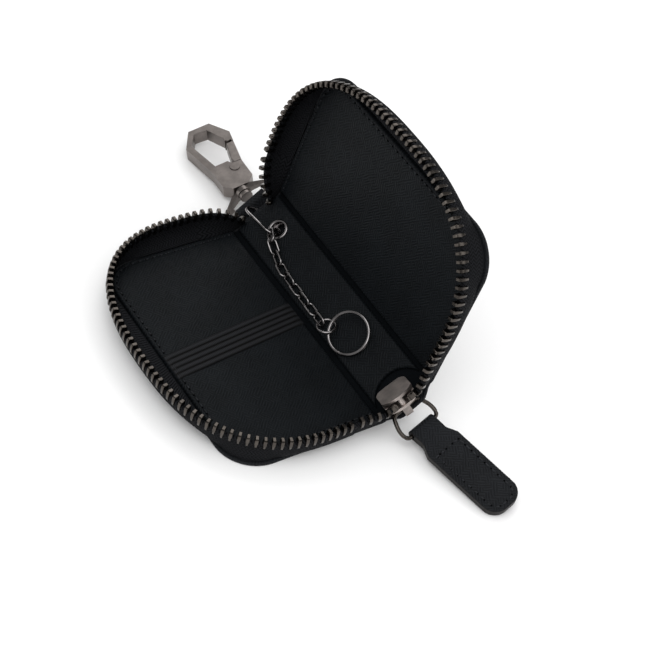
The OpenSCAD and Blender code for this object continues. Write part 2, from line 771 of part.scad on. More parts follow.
// Snap hook: a hexagonal eye over a plain body
body_low = ring_wire + 2 * play;
hook_body_w = 11;
hook_wide = 16.4;
hook_tip_w = 7.8;
body_h = 10;
wide_at_share = 0.79;
hook_corner = 2.6;
gate_pivot = [2.2, 11.1];
gate_from = 13.2;
gate_mid = 14.8;
gate_to = 22.3;
gate_low = [3.1, 5.7];
gate_waist = 2.75;
gate_top = [4.6, 8.2];
gate_clear = 0.2;
tongue_t = 2;
tongue_r = 1.9;
tongue_back = 1.6;
tongue_rise = 0.5;
tongue_w = 5;
tongue_clear = 0.25;
rivet_d = 1.7;
rivet_head_d = 3.6;
rivet_head_t = 0.3;
eye_corners = [[-3.4, 14.6], [-6, 27.2], [-2.7, 31.9], [1.8, 31.5], [5, 24.8], [2.7, 14.6]];
module hook_outline() {
    b = hook_body_w / 2;
    w = hook_wide / 2;
    t = hook_tip_w / 2;
    r = hook_corner;
    polygon([
        [r - b, body_low], [-b, body_low + r], [-b, body_low + body_h], [-w, hook_l * wide_at_share],
        [-t, hook_l], [t, hook_l], [w, hook_l * wide_at_share], [b, body_low + body_h],
        [b, body_low + r], [b - r, body_low]
    ]);
}
module hook_eye() {
    polygon(eye_corners);
}
module gate_shape(grow) {
    polygon([
        [gate_low[0] - grow, gate_from - grow], [gate_waist - grow, gate_mid],
        [gate_top[0] - grow, gate_to + grow], [gate_top[1] + grow, gate_to + grow],
        [gate_low[1] + grow, gate_from - grow]
    ]);
}
module tongue_shape(grow) {
    translate(gate_pivot) circle(tongue_r + grow);
    polygon([
        [gate_pivot[0] - tongue_back - grow, gate_pivot[1] + tongue_rise], [gate_waist - grow, gate_mid],
        [tongue_w + grow, gate_mid], [gate_pivot[0] + tongue_r + grow, gate_pivot[1]]
    ]);
}
gate_swing = 22;
module on_gate(a) {
    translate(gate_pivot) rotate([0, 0, a]) translate(-gate_pivot) children();
}
spring_wire = 0.35;
spring_r = 0.65;
spring_l = 2.8;
spring_turns = 5;
spring_steps = 12;
spring_sides = 6;
spring_at = [1.2, 6.3];
module hook_body() {
    color(gunmetal) on_hook() difference() {
        translate([0, 0, -hook_t / 2]) linear_extrude(hook_t) difference() {
            hook_outline();
            hook_eye();
            for (k = [0:3]) on_gate(gate_swing * k / 3) gate_shape(gate_clear);
        }
        translate([0, 0, -tongue_t / 2 - play]) linear_extrude(tongue_t + 2 * play)
            for (k = [0:2]) on_gate(gate_swing * k / 2) tongue_shape(tongue_clear);
        translate([gate_pivot[0], gate_pivot[1], 0]) cylinder(d = rivet_d, h = hook_t + over, center = true);
        rotate([-90, 0, 0]) cylinder(d = post_d, h = post_reach, $fn = 40);
        translate([spring_at[0], spring_at[1] - spring_wire / 2, 0]) rotate([-90, 0, 0])
            cylinder(r = spring_r + spring_wire / 2 + play, h = spring_l + 2 * spring_wire);
    }
}
module hook_gate() {
    color(gunmetal) on_hook() difference() {
        union() {
            intersection() {
                translate([0, 0, -hook_t / 2]) linear_extrude(hook_t) gate_shape(0);
                translate([0, 0, -hook_t / 2]) linear_extrude(hook_t) hook_outline();
            }
            translate([0, 0, -tongue_t / 2]) linear_extrude(tongue_t) tongue_shape(0);
        }
        translate([gate_pivot[0], gate_pivot[1], 0]) cylinder(d = rivet_d + 2 * play, h = hook_t, center = true);
    }
}
module gate_rivet() {
    color(gunmetal) on_hook() translate([gate_pivot[0], gate_pivot[1], 0]) {
        cylinder(d = rivet_d, h = hook_t, center = true);
        for (s = [-1, 1]) translate([0, 0, s * (hook_t + rivet_head_t) / 2])
            cylinder(d = rivet_head_d, h = rivet_head_t, center = true);
    }
}
// A coil in a blind bore of the body, which holds the gate's heel up
module gate_spring() {
    color(dark_steel) on_hook() translate([spring_at[0], spring_at[1], 0]) skin([
        for (i = [0:spring_turns * spring_steps])
            let (a = 360 * i / spring_steps, y = spring_l * i / spring_steps / spring_turns)
            [
                for (k = [0:spring_sides - 1])
                    let (b = 360 * k / spring_sides, r = spring_r + spring_wire / 2 * cos(b))
                    [r * cos(a), y - spring_wire / 2 * sin(b), r * sin(a)]
            ]
    ]);
}

// Chain: each link hangs in the one before
chain_from = anchor_from + [-1.58, -0.37];
chain_heads = [22, 20, 12, 3, 2, 1, 0, 0];
chain_step_shares = [0.945, 0.97, 1.01, 1.015, 1.015, 1.015, 1.015, 1.015];
chain_rolls = [30, -46, 40, -45, 45, -45, 45, -45, 45];
chain_rises = [4.16, 4.2, 3.62, 3.6, 3.6, 3.6, 3.6, 3.6, 3.6];
chain_dips = [-17, 17, 2, 0, 0, 0, 0, 0, 0];
link_count = 9;
function link_at(i) =
    i == 0 ? chain_from
    : link_at(i - 1) - link_pitch * chain_step_shares[i - 1] * [sin(chain_heads[i - 1]), cos(chain_heads[i - 1])];
function link_head(i) =
    i == 0 ? chain_heads[0]
    : i == link_count - 1 ? chain_heads[i - 1] : (chain_heads[i - 1] + chain_heads[i]) / 2;
module chain_link(i) {
    p = link_at(i);
    color(dark_steel) on_spine() translate([p[0], p[1], chain_rises[i]])
        rotate([0, 0, -link_head(i)]) rotate([chain_dips[i], 0, 0]) rotate([0, -chain_rolls[i], 0])
            rotate([0, 0, 90]) stadium((link_w - link_wire) / 2, link_l - link_w, link_wire);
}
module chain_link_1() { chain_link(0); }
module chain_link_2() { chain_link(1); }
module chain_link_3() { chain_link(2); }
module chain_link_4() { chain_link(3); }
module chain_link_5() { chain_link(4); }
module chain_link_6() { chain_link(5); }
module chain_link_7() { chain_link(6); }
module chain_link_8() { chain_link(7); }
module chain_link_9() { chain_link(8); }

// Jump ring and split key ring
jump_from_chain = [0.59, -4.21];
jump_rise = 4.33;
jump_turn = [-11.1, 30.2, -3.3];
key_from_chain = [4.6, -11.19];
key_rise = 4;
key_turn = [9.3, -6.35, 0];
key_section_w = 0.9;
key_section_h = 1.2;
chain_end = link_at(link_count - 1);
module jump_ring() {
    p = chain_end + jump_from_chain;
    color(dark_steel) on_spine() translate([p[0], p[1], jump_rise]) rotate(jump_turn)
        rotate_extrude() translate([(jump_d - link_wire) / 2, 0]) circle(d = link_wire);
}
module key_ring() {
    r = (key_d - key_section_w) / 2;
    p = chain_end + key_from_chain;
    color(dark_steel) on_spine() translate([p[0], p[1], key_rise]) rotate(key_turn) difference() {
        rotate_extrude($fn = 96) for (s = [-1, 1]) translate([r, s * key_section_h / 4]) intersection() {
            scale([key_section_w / key_section_h * 2, 1]) circle(key_section_h / 4 + play / 4, $fn = 24);
            square([key_section_w, key_section_h / 2 + play / 2], center = true);
        }
        rotate([0, 0, -40]) translate([r, 0, key_section_h / 4 + play])
            cube([key_section_w + over, play, key_section_h / 2], center = true);
    }
}

base_cover();
base_board();
base_lining();
base_tape();
base_teeth();
elastic_band();
spine_cover();
spine_board();
spine_lining();
eyelet();
eyelet_washer();
hanger_strap();
end_tape_base();
end_tape_front();
end_teeth_base();
end_teeth_front();
slider_body();
slider_crown();
front_cover();
front_board();
front_lining();
front_tape();
front_teeth();
pull_shackle();
pull_tab();
tab_filler();
clasp_ring();
swivel_post();
hook_body();
hook_gate();
gate_rivet();
gate_spring();
anchor_ring();
chain_link_1();
chain_link_2();
chain_link_3();
chain_link_4();
chain_link_5();
chain_link_6();
chain_link_7();
chain_link_8();
chain_link_9();
jump_ring();
key_ring();
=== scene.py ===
"""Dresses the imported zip-around key case: leather, stitching, woven zip tape and dark metal.

Lengths inside the makers are in millimetres and become metres when a mesh is made.
A hinge frame has x running from the fold, y along the fold and z into the case, as in the
part's source.
"""

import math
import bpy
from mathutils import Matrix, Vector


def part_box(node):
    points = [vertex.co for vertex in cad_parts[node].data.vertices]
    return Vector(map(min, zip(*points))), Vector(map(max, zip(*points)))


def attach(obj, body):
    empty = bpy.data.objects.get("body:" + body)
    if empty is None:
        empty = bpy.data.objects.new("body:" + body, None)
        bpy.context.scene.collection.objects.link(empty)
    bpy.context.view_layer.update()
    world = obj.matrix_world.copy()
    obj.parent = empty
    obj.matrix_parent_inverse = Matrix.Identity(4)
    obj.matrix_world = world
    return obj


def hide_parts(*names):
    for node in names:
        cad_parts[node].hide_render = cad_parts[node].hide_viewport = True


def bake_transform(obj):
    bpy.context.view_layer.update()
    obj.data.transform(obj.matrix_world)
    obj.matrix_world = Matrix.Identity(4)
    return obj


bl_info = {
    "name": "Zip-around key case",
    "version": (1, 0, 0),
    "blender": (4, 5, 0),
    "location": "View3D > Sidebar > Key case",
    "description": "Builds the visible pieces of a zip-around leather key case on its frame",
    "category": "Object",
}

import bmesh
import bpy
import numpy as np
from mathutils import Matrix, Vector

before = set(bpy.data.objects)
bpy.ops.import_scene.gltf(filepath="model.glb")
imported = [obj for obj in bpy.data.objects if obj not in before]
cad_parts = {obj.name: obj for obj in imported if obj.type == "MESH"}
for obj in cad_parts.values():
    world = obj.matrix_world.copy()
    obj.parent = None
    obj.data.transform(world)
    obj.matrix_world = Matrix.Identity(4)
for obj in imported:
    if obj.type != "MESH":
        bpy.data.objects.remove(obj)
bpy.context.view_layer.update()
MM = 0.001

# Measures of the case, in millimetres, as in the part's source
CASE_L, HALF_W, SPINE_W, CORNER_R = 90.0, 53.4, 19.0, 13.0
FOLD_DEG = 40.0
COVER_T, BOARD_T, LINING_T, LINING_INSET = 1.2, 0.6, 0.8, 1.8
COVER_TOP = COVER_T / 2
LINING_TOP = COVER_TOP + BOARD_T + LINING_T
PLY_SETBACK = LINING_TOP + 0.28
SPINE_SETBACK = COVER_TOP + 0.28
RIM_POWER, RIM_CX = 2.5, HALF_W * 0.393
RIM_AX, RIM_AY = HALF_W + 8.1 - RIM_CX, CASE_L / 2 + 3
ROW_START = 14.0
TAPE_T, TAPE_INSET = 0.8, 1.05
TOOTH_PITCH, TOOTH_W, TOOTH_T = 2.54, 1.05, 2.3
HEAD_TOP, TAPE_EDGE, LEG_LOW = 10.4, 8.4, 6.5
EYE_AT, EYE_BORE_R, EYE_R, EYE_FLANGE_R = (11.2, 32.5), 2.8, 2.5, 3.55
EYE_HEIGHTS, EYE_WALL, EYE_ROLL = (-0.85, 2.44), 0.3, 0.42
ARCH_AT, ARCH_R = (SPINE_W / 2, -CASE_L / 2 + 1.8), 9.2
CROWN_AT = (8.04, -46.9, 2.45)
LINK_COUNT = 9
LIP = 2.8
BAND_W, BAND_RIBS, BAND_DEG, BAND_Y_SHARE = 10.0, 5, -6.2, 0.007

# Measures that only the looks have
FOLD_R, FOLD_HOLD = 2.2, 1.3
PATH_STEP = 0.4
STITCH_SHARE, HOLE_WIDTH_SHARE, HOLE_REACH = 0.66, 1.1, 0.75
SHEET_T = 0.7
BAND_SINK, BAND_RISE, BAND_LIFT, BAND_BOW, BAND_RIB = 0.05, 0.04, 0.03, 0.07, 0.42
EDGE_REACH, CREASE_SHARE, CREASE_DROP, CREASE_PULL = 0.4, 0.15, 1.1, 0.97
BOW_SHARES = (0.5, 0.12)
TAB_T, TAB_SEWN = 2.6, (4.6, -10.2, -34.4, 3.2)
COIL_R, COIL_W, COIL_T, COIL_ENDS, COIL_START_DEG = 6.75, 0.9, 0.6, 0.3, 215

# The camera that was fitted to the photograph
CAMERA_AZIMUTH, CAMERA_ELEVATION, CAMERA_ROLL = -44.201, 44.644, 16.1
CAMERA_AIM, CAMERA_DISTANCE = (5.271, -2.859), 615.773
FLOOR_HALF = 900

# Name, place in metres, size in metres and power in watts
LAMPS = (
    ("key_light", (-0.5, -0.25, 1.2), 1.2, 7.0),
    ("fill_light", (0.75, -0.9, 0.8), 1.0, 3.5),
    ("back_light", (0.55, 0.8, 0.9), 0.8, 3.5),
)
LAMP_AIM = (0.02, 0, 0.01)
# The surround's level, and what camera rays and glossy rays add to it
SURROUND_LEVEL, SURROUND_CHANGES = 0.85, {"Is Camera Ray": 0.3, "Is Glossy Ray": -0.58}


# ---------------------------------------------------------------- frames
def turned(axis, degrees):
    return np.array(Matrix.Rotation(math.radians(degrees), 4, axis))


def moved(x, y, z):
    return np.array(Matrix.Translation((x, y, z)))


ON_BASE = moved(HALF_W / 2, 0, COVER_TOP) @ np.diag([-1.0, 1.0, 1.0, 1.0])
ON_SPINE = moved(HALF_W / 2, 0, COVER_TOP) @ turned("Y", -FOLD_DEG)
ON_FRONT = ON_SPINE @ moved(SPINE_W, 0, 0) @ turned("Y", -FOLD_DEG)
ON_SLIDER = ON_SPINE @ moved(*CROWN_AT) @ turned("Y", 7) @ turned("X", -32)
ON_CROWN = ON_SPINE @ moved(*CROWN_AT)
ON_SHACKLE = ON_CROWN @ turned("Y", FOLD_DEG) @ turned("Z", 13) @ turned("Y", -13) @ turned("X", 19)
ON_TAB = ON_SHACKLE @ moved(0, -8.2, 0) @ turned("X", -15)
FOLD_A = ON_SPINE @ [0, 0, 0, 1]
FOLD_B = ON_FRONT @ [0, 0, 0, 1]


def put(matrix, points):
    """Points of a frame, in the row's frame."""
    points = np.asarray(points, float)
    return points @ matrix[:3, :3].T + matrix[:3, 3]


def metres(point):
    return tuple(float(v) * MM for v in point[:3])


# ---------------------------------------------------------------- meshes
def link_object(name, mesh):
    piece = bpy.data.objects.new(name, mesh)
    bpy.context.scene.collection.objects.link(piece)
    return piece


def write_uv(mesh, uv):
    """Gives a mesh a pattern map with one pair for each point."""
    layer = mesh.uv_layers.get("UVMap") or mesh.uv_layers.new(name="UVMap")
    corners = np.empty(len(mesh.loops), np.int32)
    mesh.loops.foreach_get("vertex_index", corners)
    layer.data.foreach_set("uv", np.asarray(uv, np.float32)[corners].ravel())


def closed_mesh(name, points, faces, uv=None, materials=(), smooth_deg=50):
    """A mesh piece with its faces turned outwards. uv has one pair for each point."""
    mesh = bpy.data.meshes.new(name)
    mesh.from_pydata([tuple(p) for p in np.asarray(points, float) * MM], [], faces)
    if uv is not None:
        write_uv(mesh, uv)
    build = bmesh.new()
    build.from_mesh(mesh)
    bmesh.ops.recalc_face_normals(build, faces=build.faces)
    build.to_mesh(mesh)
    build.free()
    for material in materials:
        mesh.materials.append(material)
    mesh.shade_smooth()
    mesh.set_sharp_from_angle(angle=math.radians(smooth_deg))
    return link_object(name, mesh)


def baked(piece, smooth_deg=50):
    """Applies a piece's modifiers. Without an angle, its shading stays as they leave it."""
    bpy.context.view_layer.update()
    evaluated = piece.evaluated_get(bpy.context.evaluated_depsgraph_get())
    mesh = bpy.data.meshes.new_from_object(evaluated)
    old = piece.data
    piece.modifiers.clear()
    piece.data = mesh
    mesh.name = piece.name
    bpy.data.meshes.remove(old)
    if smooth_deg is not None:
        mesh.shade_smooth()
        mesh.set_sharp_from_angle(angle=math.radians(smooth_deg))
    return piece


def modifier(piece, kind, **settings):
    added = piece.modifiers.new(kind.title(), kind)
    for key, value in settings.items():
        setattr(added, key, value)
    return added


def from_cad(node, name, materials, dissolve=True):
    """A merged copy of a CAD node's mesh, to be finished with modifiers."""
    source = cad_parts[node]
    mesh = source.data.copy()
    mesh.transform(source.matrix_world)
    build = bmesh.new()
    build.from_mesh(mesh)
    bmesh.ops.remove_doubles(build, verts=build.verts, dist=1e-6)
    if dissolve:
        bmesh.ops.dissolve_limit(
            build, angle_limit=math.radians(1), verts=build.verts, edges=build.edges)
    bmesh.ops.recalc_face_normals(build, faces=build.faces)
    build.to_mesh(mesh)
    build.free()
    mesh.materials.clear()
    if "custom_normal" in mesh.attributes:
        mesh.attributes.remove(mesh.attributes["custom_normal"])
    for material in materials:
        mesh.materials.append(material)
    return link_object(name, mesh)


def grid_faces(rows, columns, first=0, wrap=False, closed=False):
    """Quads over a grid of points, wrapped round its columns, and closed from its last row."""
    faces = []
    for i in range(rows if closed else rows - 1):
        for j in range(columns if wrap else columns - 1):
            k = (j + 1) % columns
            a, b = first + i * columns, first + (i + 1) % rows * columns
            faces.append((a + j, a + k, b + k, b + j))
    return faces


def slab(name, top, bottom, uv, materials, smooth_deg=60):
    """A closed sheet between two grids of points."""
    rows, columns = top.shape[:2]
    count = rows * columns
    faces = grid_faces(rows, columns) + [f[::-1] for f in grid_faces(rows, columns, count)]
    ring = (
        list(range(columns))
        + [i * columns + columns - 1 for i in range(1, rows)]
        + [(rows - 1) * columns + j for j in range(columns - 2, -1, -1)]
        + [i * columns for i in range(rows - 2, 0, -1)]
    )
    for a, b in zip(ring, ring[1:] + ring[:1]):
        faces.append((a, a + count, b + count, b))
    points = np.concatenate([top.reshape(-1, 3), bottom.reshape(-1, 3)])
    both = np.concatenate([uv.reshape(-1, 2), uv.reshape(-1, 2)])
    return closed_mesh(name, points, faces, both, materials, smooth_deg)


def grid_normals(grid):
    along = np.gradient(grid, axis=0)
    across = np.gradient(grid, axis=1)
    normal = np.cross(along, across)
    return normal / np.linalg.norm(normal, axis=2, keepdims=True)


def run_length(points):
    """Distance run along a path at each of its points."""
    return np.concatenate([[0], np.cumsum(np.linalg.norm(np.diff(points, axis=0), axis=1))])


def resampled(path, count=None):
    """A path's points at the even step of a sewn line, or count of them from end to end."""
    length = run_length(path)
    places = np.linspace(0, length[-1], count) if count else np.arange(0, length[-1], PATH_STEP)
    return np.stack([np.interp(places, length, path[:, i]) for i in range(3)], 1)


def sweep(name, path, section, ups, materials):
    """A solid of even section along a path. ups holds the section's second axis at each point."""
    ahead = np.gradient(path, axis=0)
    ahead /= np.linalg.norm(ahead, axis=1, keepdims=True)
    side = np.cross(ahead, ups)
    side /= np.linalg.norm(side, axis=1, keepdims=True)
    up = np.cross(side, ahead)
    points = path[:, None] + side[:, None] * section[:, :1] + up[:, None] * section[:, 1:]
    n, c = points.shape[:2]
    faces = grid_faces(n, c, wrap=True)
    faces += [tuple(range(c))[::-1], tuple((n - 1) * c + j for j in range(c))]
    uv = np.stack(np.broadcast_arrays(run_length(path)[:, None], np.arange(c)[None] / c), 2)
    return closed_mesh(name, points.reshape(-1, 3), faces, uv.reshape(-1, 2) / 10, materials)


def seated(piece, body, slot, *nodes):
    """Lets a piece ride on a body in place of CAD nodes, which it hides. Its slot is not used."""
    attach(piece, body)
    if nodes:
        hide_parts(*nodes)


# ---------------------------------------------------------------- shader maths
def maths(operation, mirrored=False):
    """A method that adds one Math node. When mirrored, the other value comes first."""

    def method(self, *others):
        values = (*others, self) if mirrored else (self, *others)
        return self.shade.node("ShaderNodeMath", {"operation": operation}, values)

    return method


class Value:
    """A socket that takes part in Python arithmetic."""

    __add__ = __radd__ = maths("ADD")
    __sub__, __rsub__ = maths("SUBTRACT"), maths("SUBTRACT", mirrored=True)
    __mul__ = __rmul__ = maths("MULTIPLY")
    fract, absolute, sine = maths("FRACT"), maths("ABSOLUTE"), maths("SINE")

    def __init__(self, shade, socket):
        self.shade, self.socket = shade, socket

    def between(self, low, high, to_low=0.0, to_high=1.0):
        """A smooth rise from one level to another while the value goes from low to high."""
        settings = {"interpolation_type": "SMOOTHSTEP"}
        return self.shade.node("ShaderNodeMapRange", settings, (self, low, high, to_low, to_high))

    def part(self, axis):
        """One part of a vector."""
        return self.shade.node("ShaderNodeSeparateXYZ", {}, (self,), axis)

    def tent(self):
        """A wave of straight flanks: 1 at each whole number and 0 half way between."""
        return (self.fract() - 0.5).absolute() * 2


class Shade:
    """A material whose nodes are made from Python expressions."""

    def __init__(self, name, **surface):
        self.material = bpy.data.materials.new(name)
        self.material.use_nodes = True
        self.tree = self.material.node_tree
        self.surface = self.tree.nodes["Principled BSDF"]
        for key, value in surface.items():
            socket = key.replace("_", " ").title().replace("Ior", "IOR")
            self.surface.inputs[socket].default_value = value

    def node(self, kind, settings=None, values=(), output=0):
        made = self.tree.nodes.new(kind)
        for key, value in (settings or {}).items():
            setattr(made, key, value)
        pairs = values.items() if isinstance(values, dict) else enumerate(values)
        for key, value in pairs:
            if isinstance(value, Value):
                self.tree.links.new(value.socket, made.inputs[key])
            elif value is not None:
                made.inputs[key].default_value = value
        return Value(self, made.outputs[output])

    def place(self, source="Object"):
        return self.node("ShaderNodeTexCoord", output=source)

    def mapped(self, place, scale=(1, 1, 1), turn=0.0):
        values = {"Vector": place, "Scale": scale, "Rotation": (0, 0, math.radians(turn))}
        return self.node("ShaderNodeMapping", {}, values)

    def noise(self, place, scale, detail=2.0, roughness=0.5):
        values = {"Vector": place, "Scale": scale, "Detail": detail, "Roughness": roughness}
        return self.node("ShaderNodeTexNoise", {}, values)

    def mix(self, factor, first, second):
        values = {0: factor, 6: first, 7: second}
        return self.node("ShaderNodeMix", {"data_type": "RGBA"}, values, 2)

    def feed(self, socket, value):
        self.tree.links.new(value.socket, self.surface.inputs[socket])

    def tint(self, factor, colour, darkest, palest):
        """Lets the colour go from its darkest level to its palest with a factor."""
        tones = rgba(colour, darkest), rgba(colour, palest)
        self.feed("Base Color", self.mix(factor, *tones))

    def bump(self, height, distance, strength=1.0, normal=None):
        values = {"Strength": strength, "Distance": distance, "Height": height, "Normal": normal}
        return self.node("ShaderNodeBump", {}, values)


def rgba(colour, level=1.0):
    return tuple(min(1.0, c * level) for c in colour[:3]) + (1.0,)


def cross_grain_leather(name, colour, pitch):
    """Leather pressed with two families of fine wavy lines, which take turns in patches."""
    shade = Shade(name, roughness=0.5, specular_ior_level=0.13)
    uv = shade.place("UV")
    size = 10.0 / pitch
    wander = shade.noise(uv, 1.3, 2.0)
    jitter = shade.noise(uv, size * 0.7, 1.0)
    lines = []
    for turn, shift in ((43, 1.5), (-49, 1.9)):
        lane = shade.mapped(uv, (size, size, 1), turn).part(1)
        lines.append((lane + wander * shift + jitter * 0.45).tent().between(0.25, 0.8))
    patch = shade.noise(uv, size * 0.36, 1.0).between(0.42, 0.58)
    ridges = lines[0] * patch + lines[1] * (1 - patch)
    pores = shade.noise(uv, size * 2.6, 3.0)
    broad = shade.noise(uv, 0.7, 2.0)
    height = ridges * 0.8 + pores * 0.35
    shade.feed("Normal", shade.bump(broad, 0.0005, 0.15, shade.bump(height, 0.00014, 0.8)))
    tone = ridges * 0.6 + pores * 0.25 + broad.between(0.35, 0.7) * 0.25
    shade.tint(tone, colour, 0.5, 1.55)
    shade.feed("Roughness", 0.58 - ridges * 0.14 + pores * 0.08)
    return shade.material


def leather_back(name, colour, shade_level):
    """The napped inner side of the leather, seen in the folds and under the arch, tinted darker
    than the lining as painted shade in those recesses.
    """
    shade = Shade(name, roughness=0.9, specular_ior_level=0.05)
    nap = shade.noise(shade.place("UV"), 26.0, 4.0)
    shade.tint(nap.between(0.3, 0.7), colour, shade_level, shade_level * 2)
    shade.feed("Roughness", 0.84 + nap * 0.12)
    shade.feed("Normal", shade.bump(nap, 0.00015, 0.6))
    return shade.material


def painted_edge(name, colour):
    """Edge paint over the cut plies of a leather piece."""
    shade = Shade(name, roughness=0.42, specular_ior_level=0.2)
    place = shade.place()
    spread = shade.noise(place, 900.0, 3.0)
    shade.tint(spread.between(0.3, 0.75), colour, 0.75, 1.3)
    shade.feed("Roughness", 0.36 + spread * 0.22)
    shade.feed("Normal", shade.bump(spread, 0.00008, 0.6))
    return shade.material


def sewing_thread(name, colour):
    """Twisted thread, its plies slanting round each stitch."""
    shade = Shade(name, roughness=0.55, specular_ior_level=0.3)
    ply = shade.noise(shade.place(), 1400.0, 1.0)
    shade.tint(ply.between(0.35, 0.65), colour, 0.55, 1.5)
    shade.feed("Roughness", 0.55 + ply * 0.2)
    shade.feed("Normal", shade.bump(ply, 0.0001, 0.8))
    return shade.material


def herringbone_tape(name, colour, band, yarn):
    """Woven zip tape: bands of slanting yarns whose slant turns over from band to band."""
    shade = Shade(name, roughness=0.78, specular_ior_level=0.1)
    uv = shade.place("UV")
    along, across = uv.part(0), uv.part(1)
    lane = across * (10 / band)
    rise = (lane.fract() - 0.5).absolute()
    strand = 1 - (along * (10 / yarn) + rise * (band / yarn)).tent().between(0.45, 1.0)
    cord = 1 - (across * (10 / yarn * 2.2)).tent().between(0.5, 1.0)
    fibre = shade.noise(uv, 60.0, 3.0)
    height = strand * 0.75 + cord * 0.25 + fibre * 0.3
    shade.tint(height.between(0.3, 1.1), colour, 0.12, 2.1)
    shade.feed("Roughness", 0.7 + fibre * 0.16)
    shade.feed("Normal", shade.bump(height, 0.0003, 1.0))
    return shade.material


def ribbed_elastic(name, colour, pick, rib):
    """Elastic webbing: lengthwise ribs with fine picks across them, the rib crowns painted lighter
    and the valleys darker as painted highlight and shade.
    """
    shade = Shade(name, roughness=0.62, specular_ior_level=0.22)
    uv = shade.place("UV")
    pick_up = 1 - (uv.part(0) * (10 / pick)).tent().between(0.4, 1.0)
    # Painted highlight on each rib's crown and painted shade in the valleys between
    rib_shading = ((uv.part(1) * (10 / rib) + 0.5) * math.pi).sine().absolute()
    fibre = shade.noise(uv, 70.0, 2.0)
    tone = rib_shading.between(0.25, 0.95) * (pick_up * 0.3 + fibre * 0.4 + 0.55)
    shade.tint(tone, colour, 0.15, 2.4)
    shade.feed("Roughness", 0.56 + fibre * 0.16)
    shade.feed("Normal", shade.bump(pick_up + fibre * 0.4, 0.00012, 0.7))
    return shade.material


def plated_metal(name, colour, roughness, wear):
    """Dark plating: slightly uneven, dulled in patches, with fine handling marks."""
    shade = Shade(name, metallic=1.0, roughness=roughness)
    place = shade.place()
    cloud = shade.noise(place, 240.0, 4.0, 0.6)
    marks = shade.noise(shade.mapped(place, (5200, 700, 2600), 35), 1.0, 2.0)
    grain = shade.noise(place, 4200.0, 2.0)
    dulled = cloud * wear + marks.between(0.55, 0.75) * wear * 0.8
    shade.tint(cloud.between(0.3, 0.72), colour, 0.8, 1.18)
    shade.feed("Roughness", dulled + (roughness - wear * 0.4))
    shade.feed("Normal", shade.bump(marks * 0.5 + grain * 0.5, 0.00002, 0.5))
    return shade.material


def floor_paper(name, colour):
    """Plain pale paper under the case."""
    shade = Shade(name, roughness=0.85, specular_ior_level=0.2)
    tooth = shade.noise(shade.place(), 700.0, 3.0)
    shade.tint(tooth, colour, 0.985, 1.0)
    return shade.material


# ---------------------------------------------------------------- settings
class KeyCaseLeather(bpy.types.PropertyGroup):
    outer: bpy.props.FloatVectorProperty(
        name="Outer leather", description="Colour of the outer leather", subtype="COLOR", size=3,
        default=(0.0085, 0.0094, 0.0112), min=0, max=1)
    lining: bpy.props.FloatVectorProperty(
        name="Lining", description="Colour of the lining leather", subtype="COLOR", size=3,
        default=(0.0046, 0.0060, 0.0074), min=0, max=1)
    edge: bpy.props.FloatVectorProperty(
        name="Edge paint", description="Colour of the painted edges", subtype="COLOR", size=3,
        default=(0.0062, 0.0048, 0.0044), min=0, max=1)
    grain: bpy.props.FloatProperty(
        name="Grain", description="Spacing of the pressed grain in millimetres",
        default=0.85, min=0.2, max=2)
    stitch_pitch: bpy.props.FloatProperty(
        name="Stitch pitch", description="Length of a stitch in millimetres",
        default=2.6, min=1, max=6)


class KeyCaseCloth(bpy.types.PropertyGroup):
    tape: bpy.props.FloatVectorProperty(
        name="Tape", description="Colour of the zip's woven tape", subtype="COLOR", size=3,
        default=(0.0052, 0.0055, 0.0065), min=0, max=1)
    band: bpy.props.FloatProperty(
        name="Herringbone band", description="Width of a herringbone band in millimetres",
        default=2.4, min=0.5, max=4)
    yarn: bpy.props.FloatProperty(
        name="Yarn", description="Spacing of the yarns in millimetres",
        default=1.1, min=0.2, max=2)


class KeyCaseMetal(bpy.types.PropertyGroup):
    zip: bpy.props.FloatVectorProperty(
        name="Zip metal", description="Colour of the teeth and the slider", subtype="COLOR", size=3,
        default=(0.092, 0.081, 0.072), min=0, max=1)
    clasp: bpy.props.FloatVectorProperty(
        name="Clasp metal", description="Colour of the snap hook", subtype="COLOR", size=3,
        default=(0.23, 0.206, 0.193), min=0, max=1)
    wire: bpy.props.FloatVectorProperty(
        name="Wire", description="Colour of the chain and the rings", subtype="COLOR", size=3,
        default=(0.32, 0.305, 0.305), min=0, max=1)


class KeyCaseStage(bpy.types.PropertyGroup):
    floor: bpy.props.FloatVectorProperty(
        name="Floor", description="Colour of the floor", subtype="COLOR", size=3,
        default=(0.9, 0.9, 0.9), min=0, max=1)
    lens: bpy.props.FloatProperty(
        name="Lens", description="Focal length of the camera in millimetres", unit="CAMERA",
        default=107.44, min=20, max=300)


SETTINGS = (
    ("key_case_leather", KeyCaseLeather), ("key_case_cloth", KeyCaseCloth),
    ("key_case_metal", KeyCaseMetal), ("key_case_stage", KeyCaseStage),
)
MATERIALS = {}


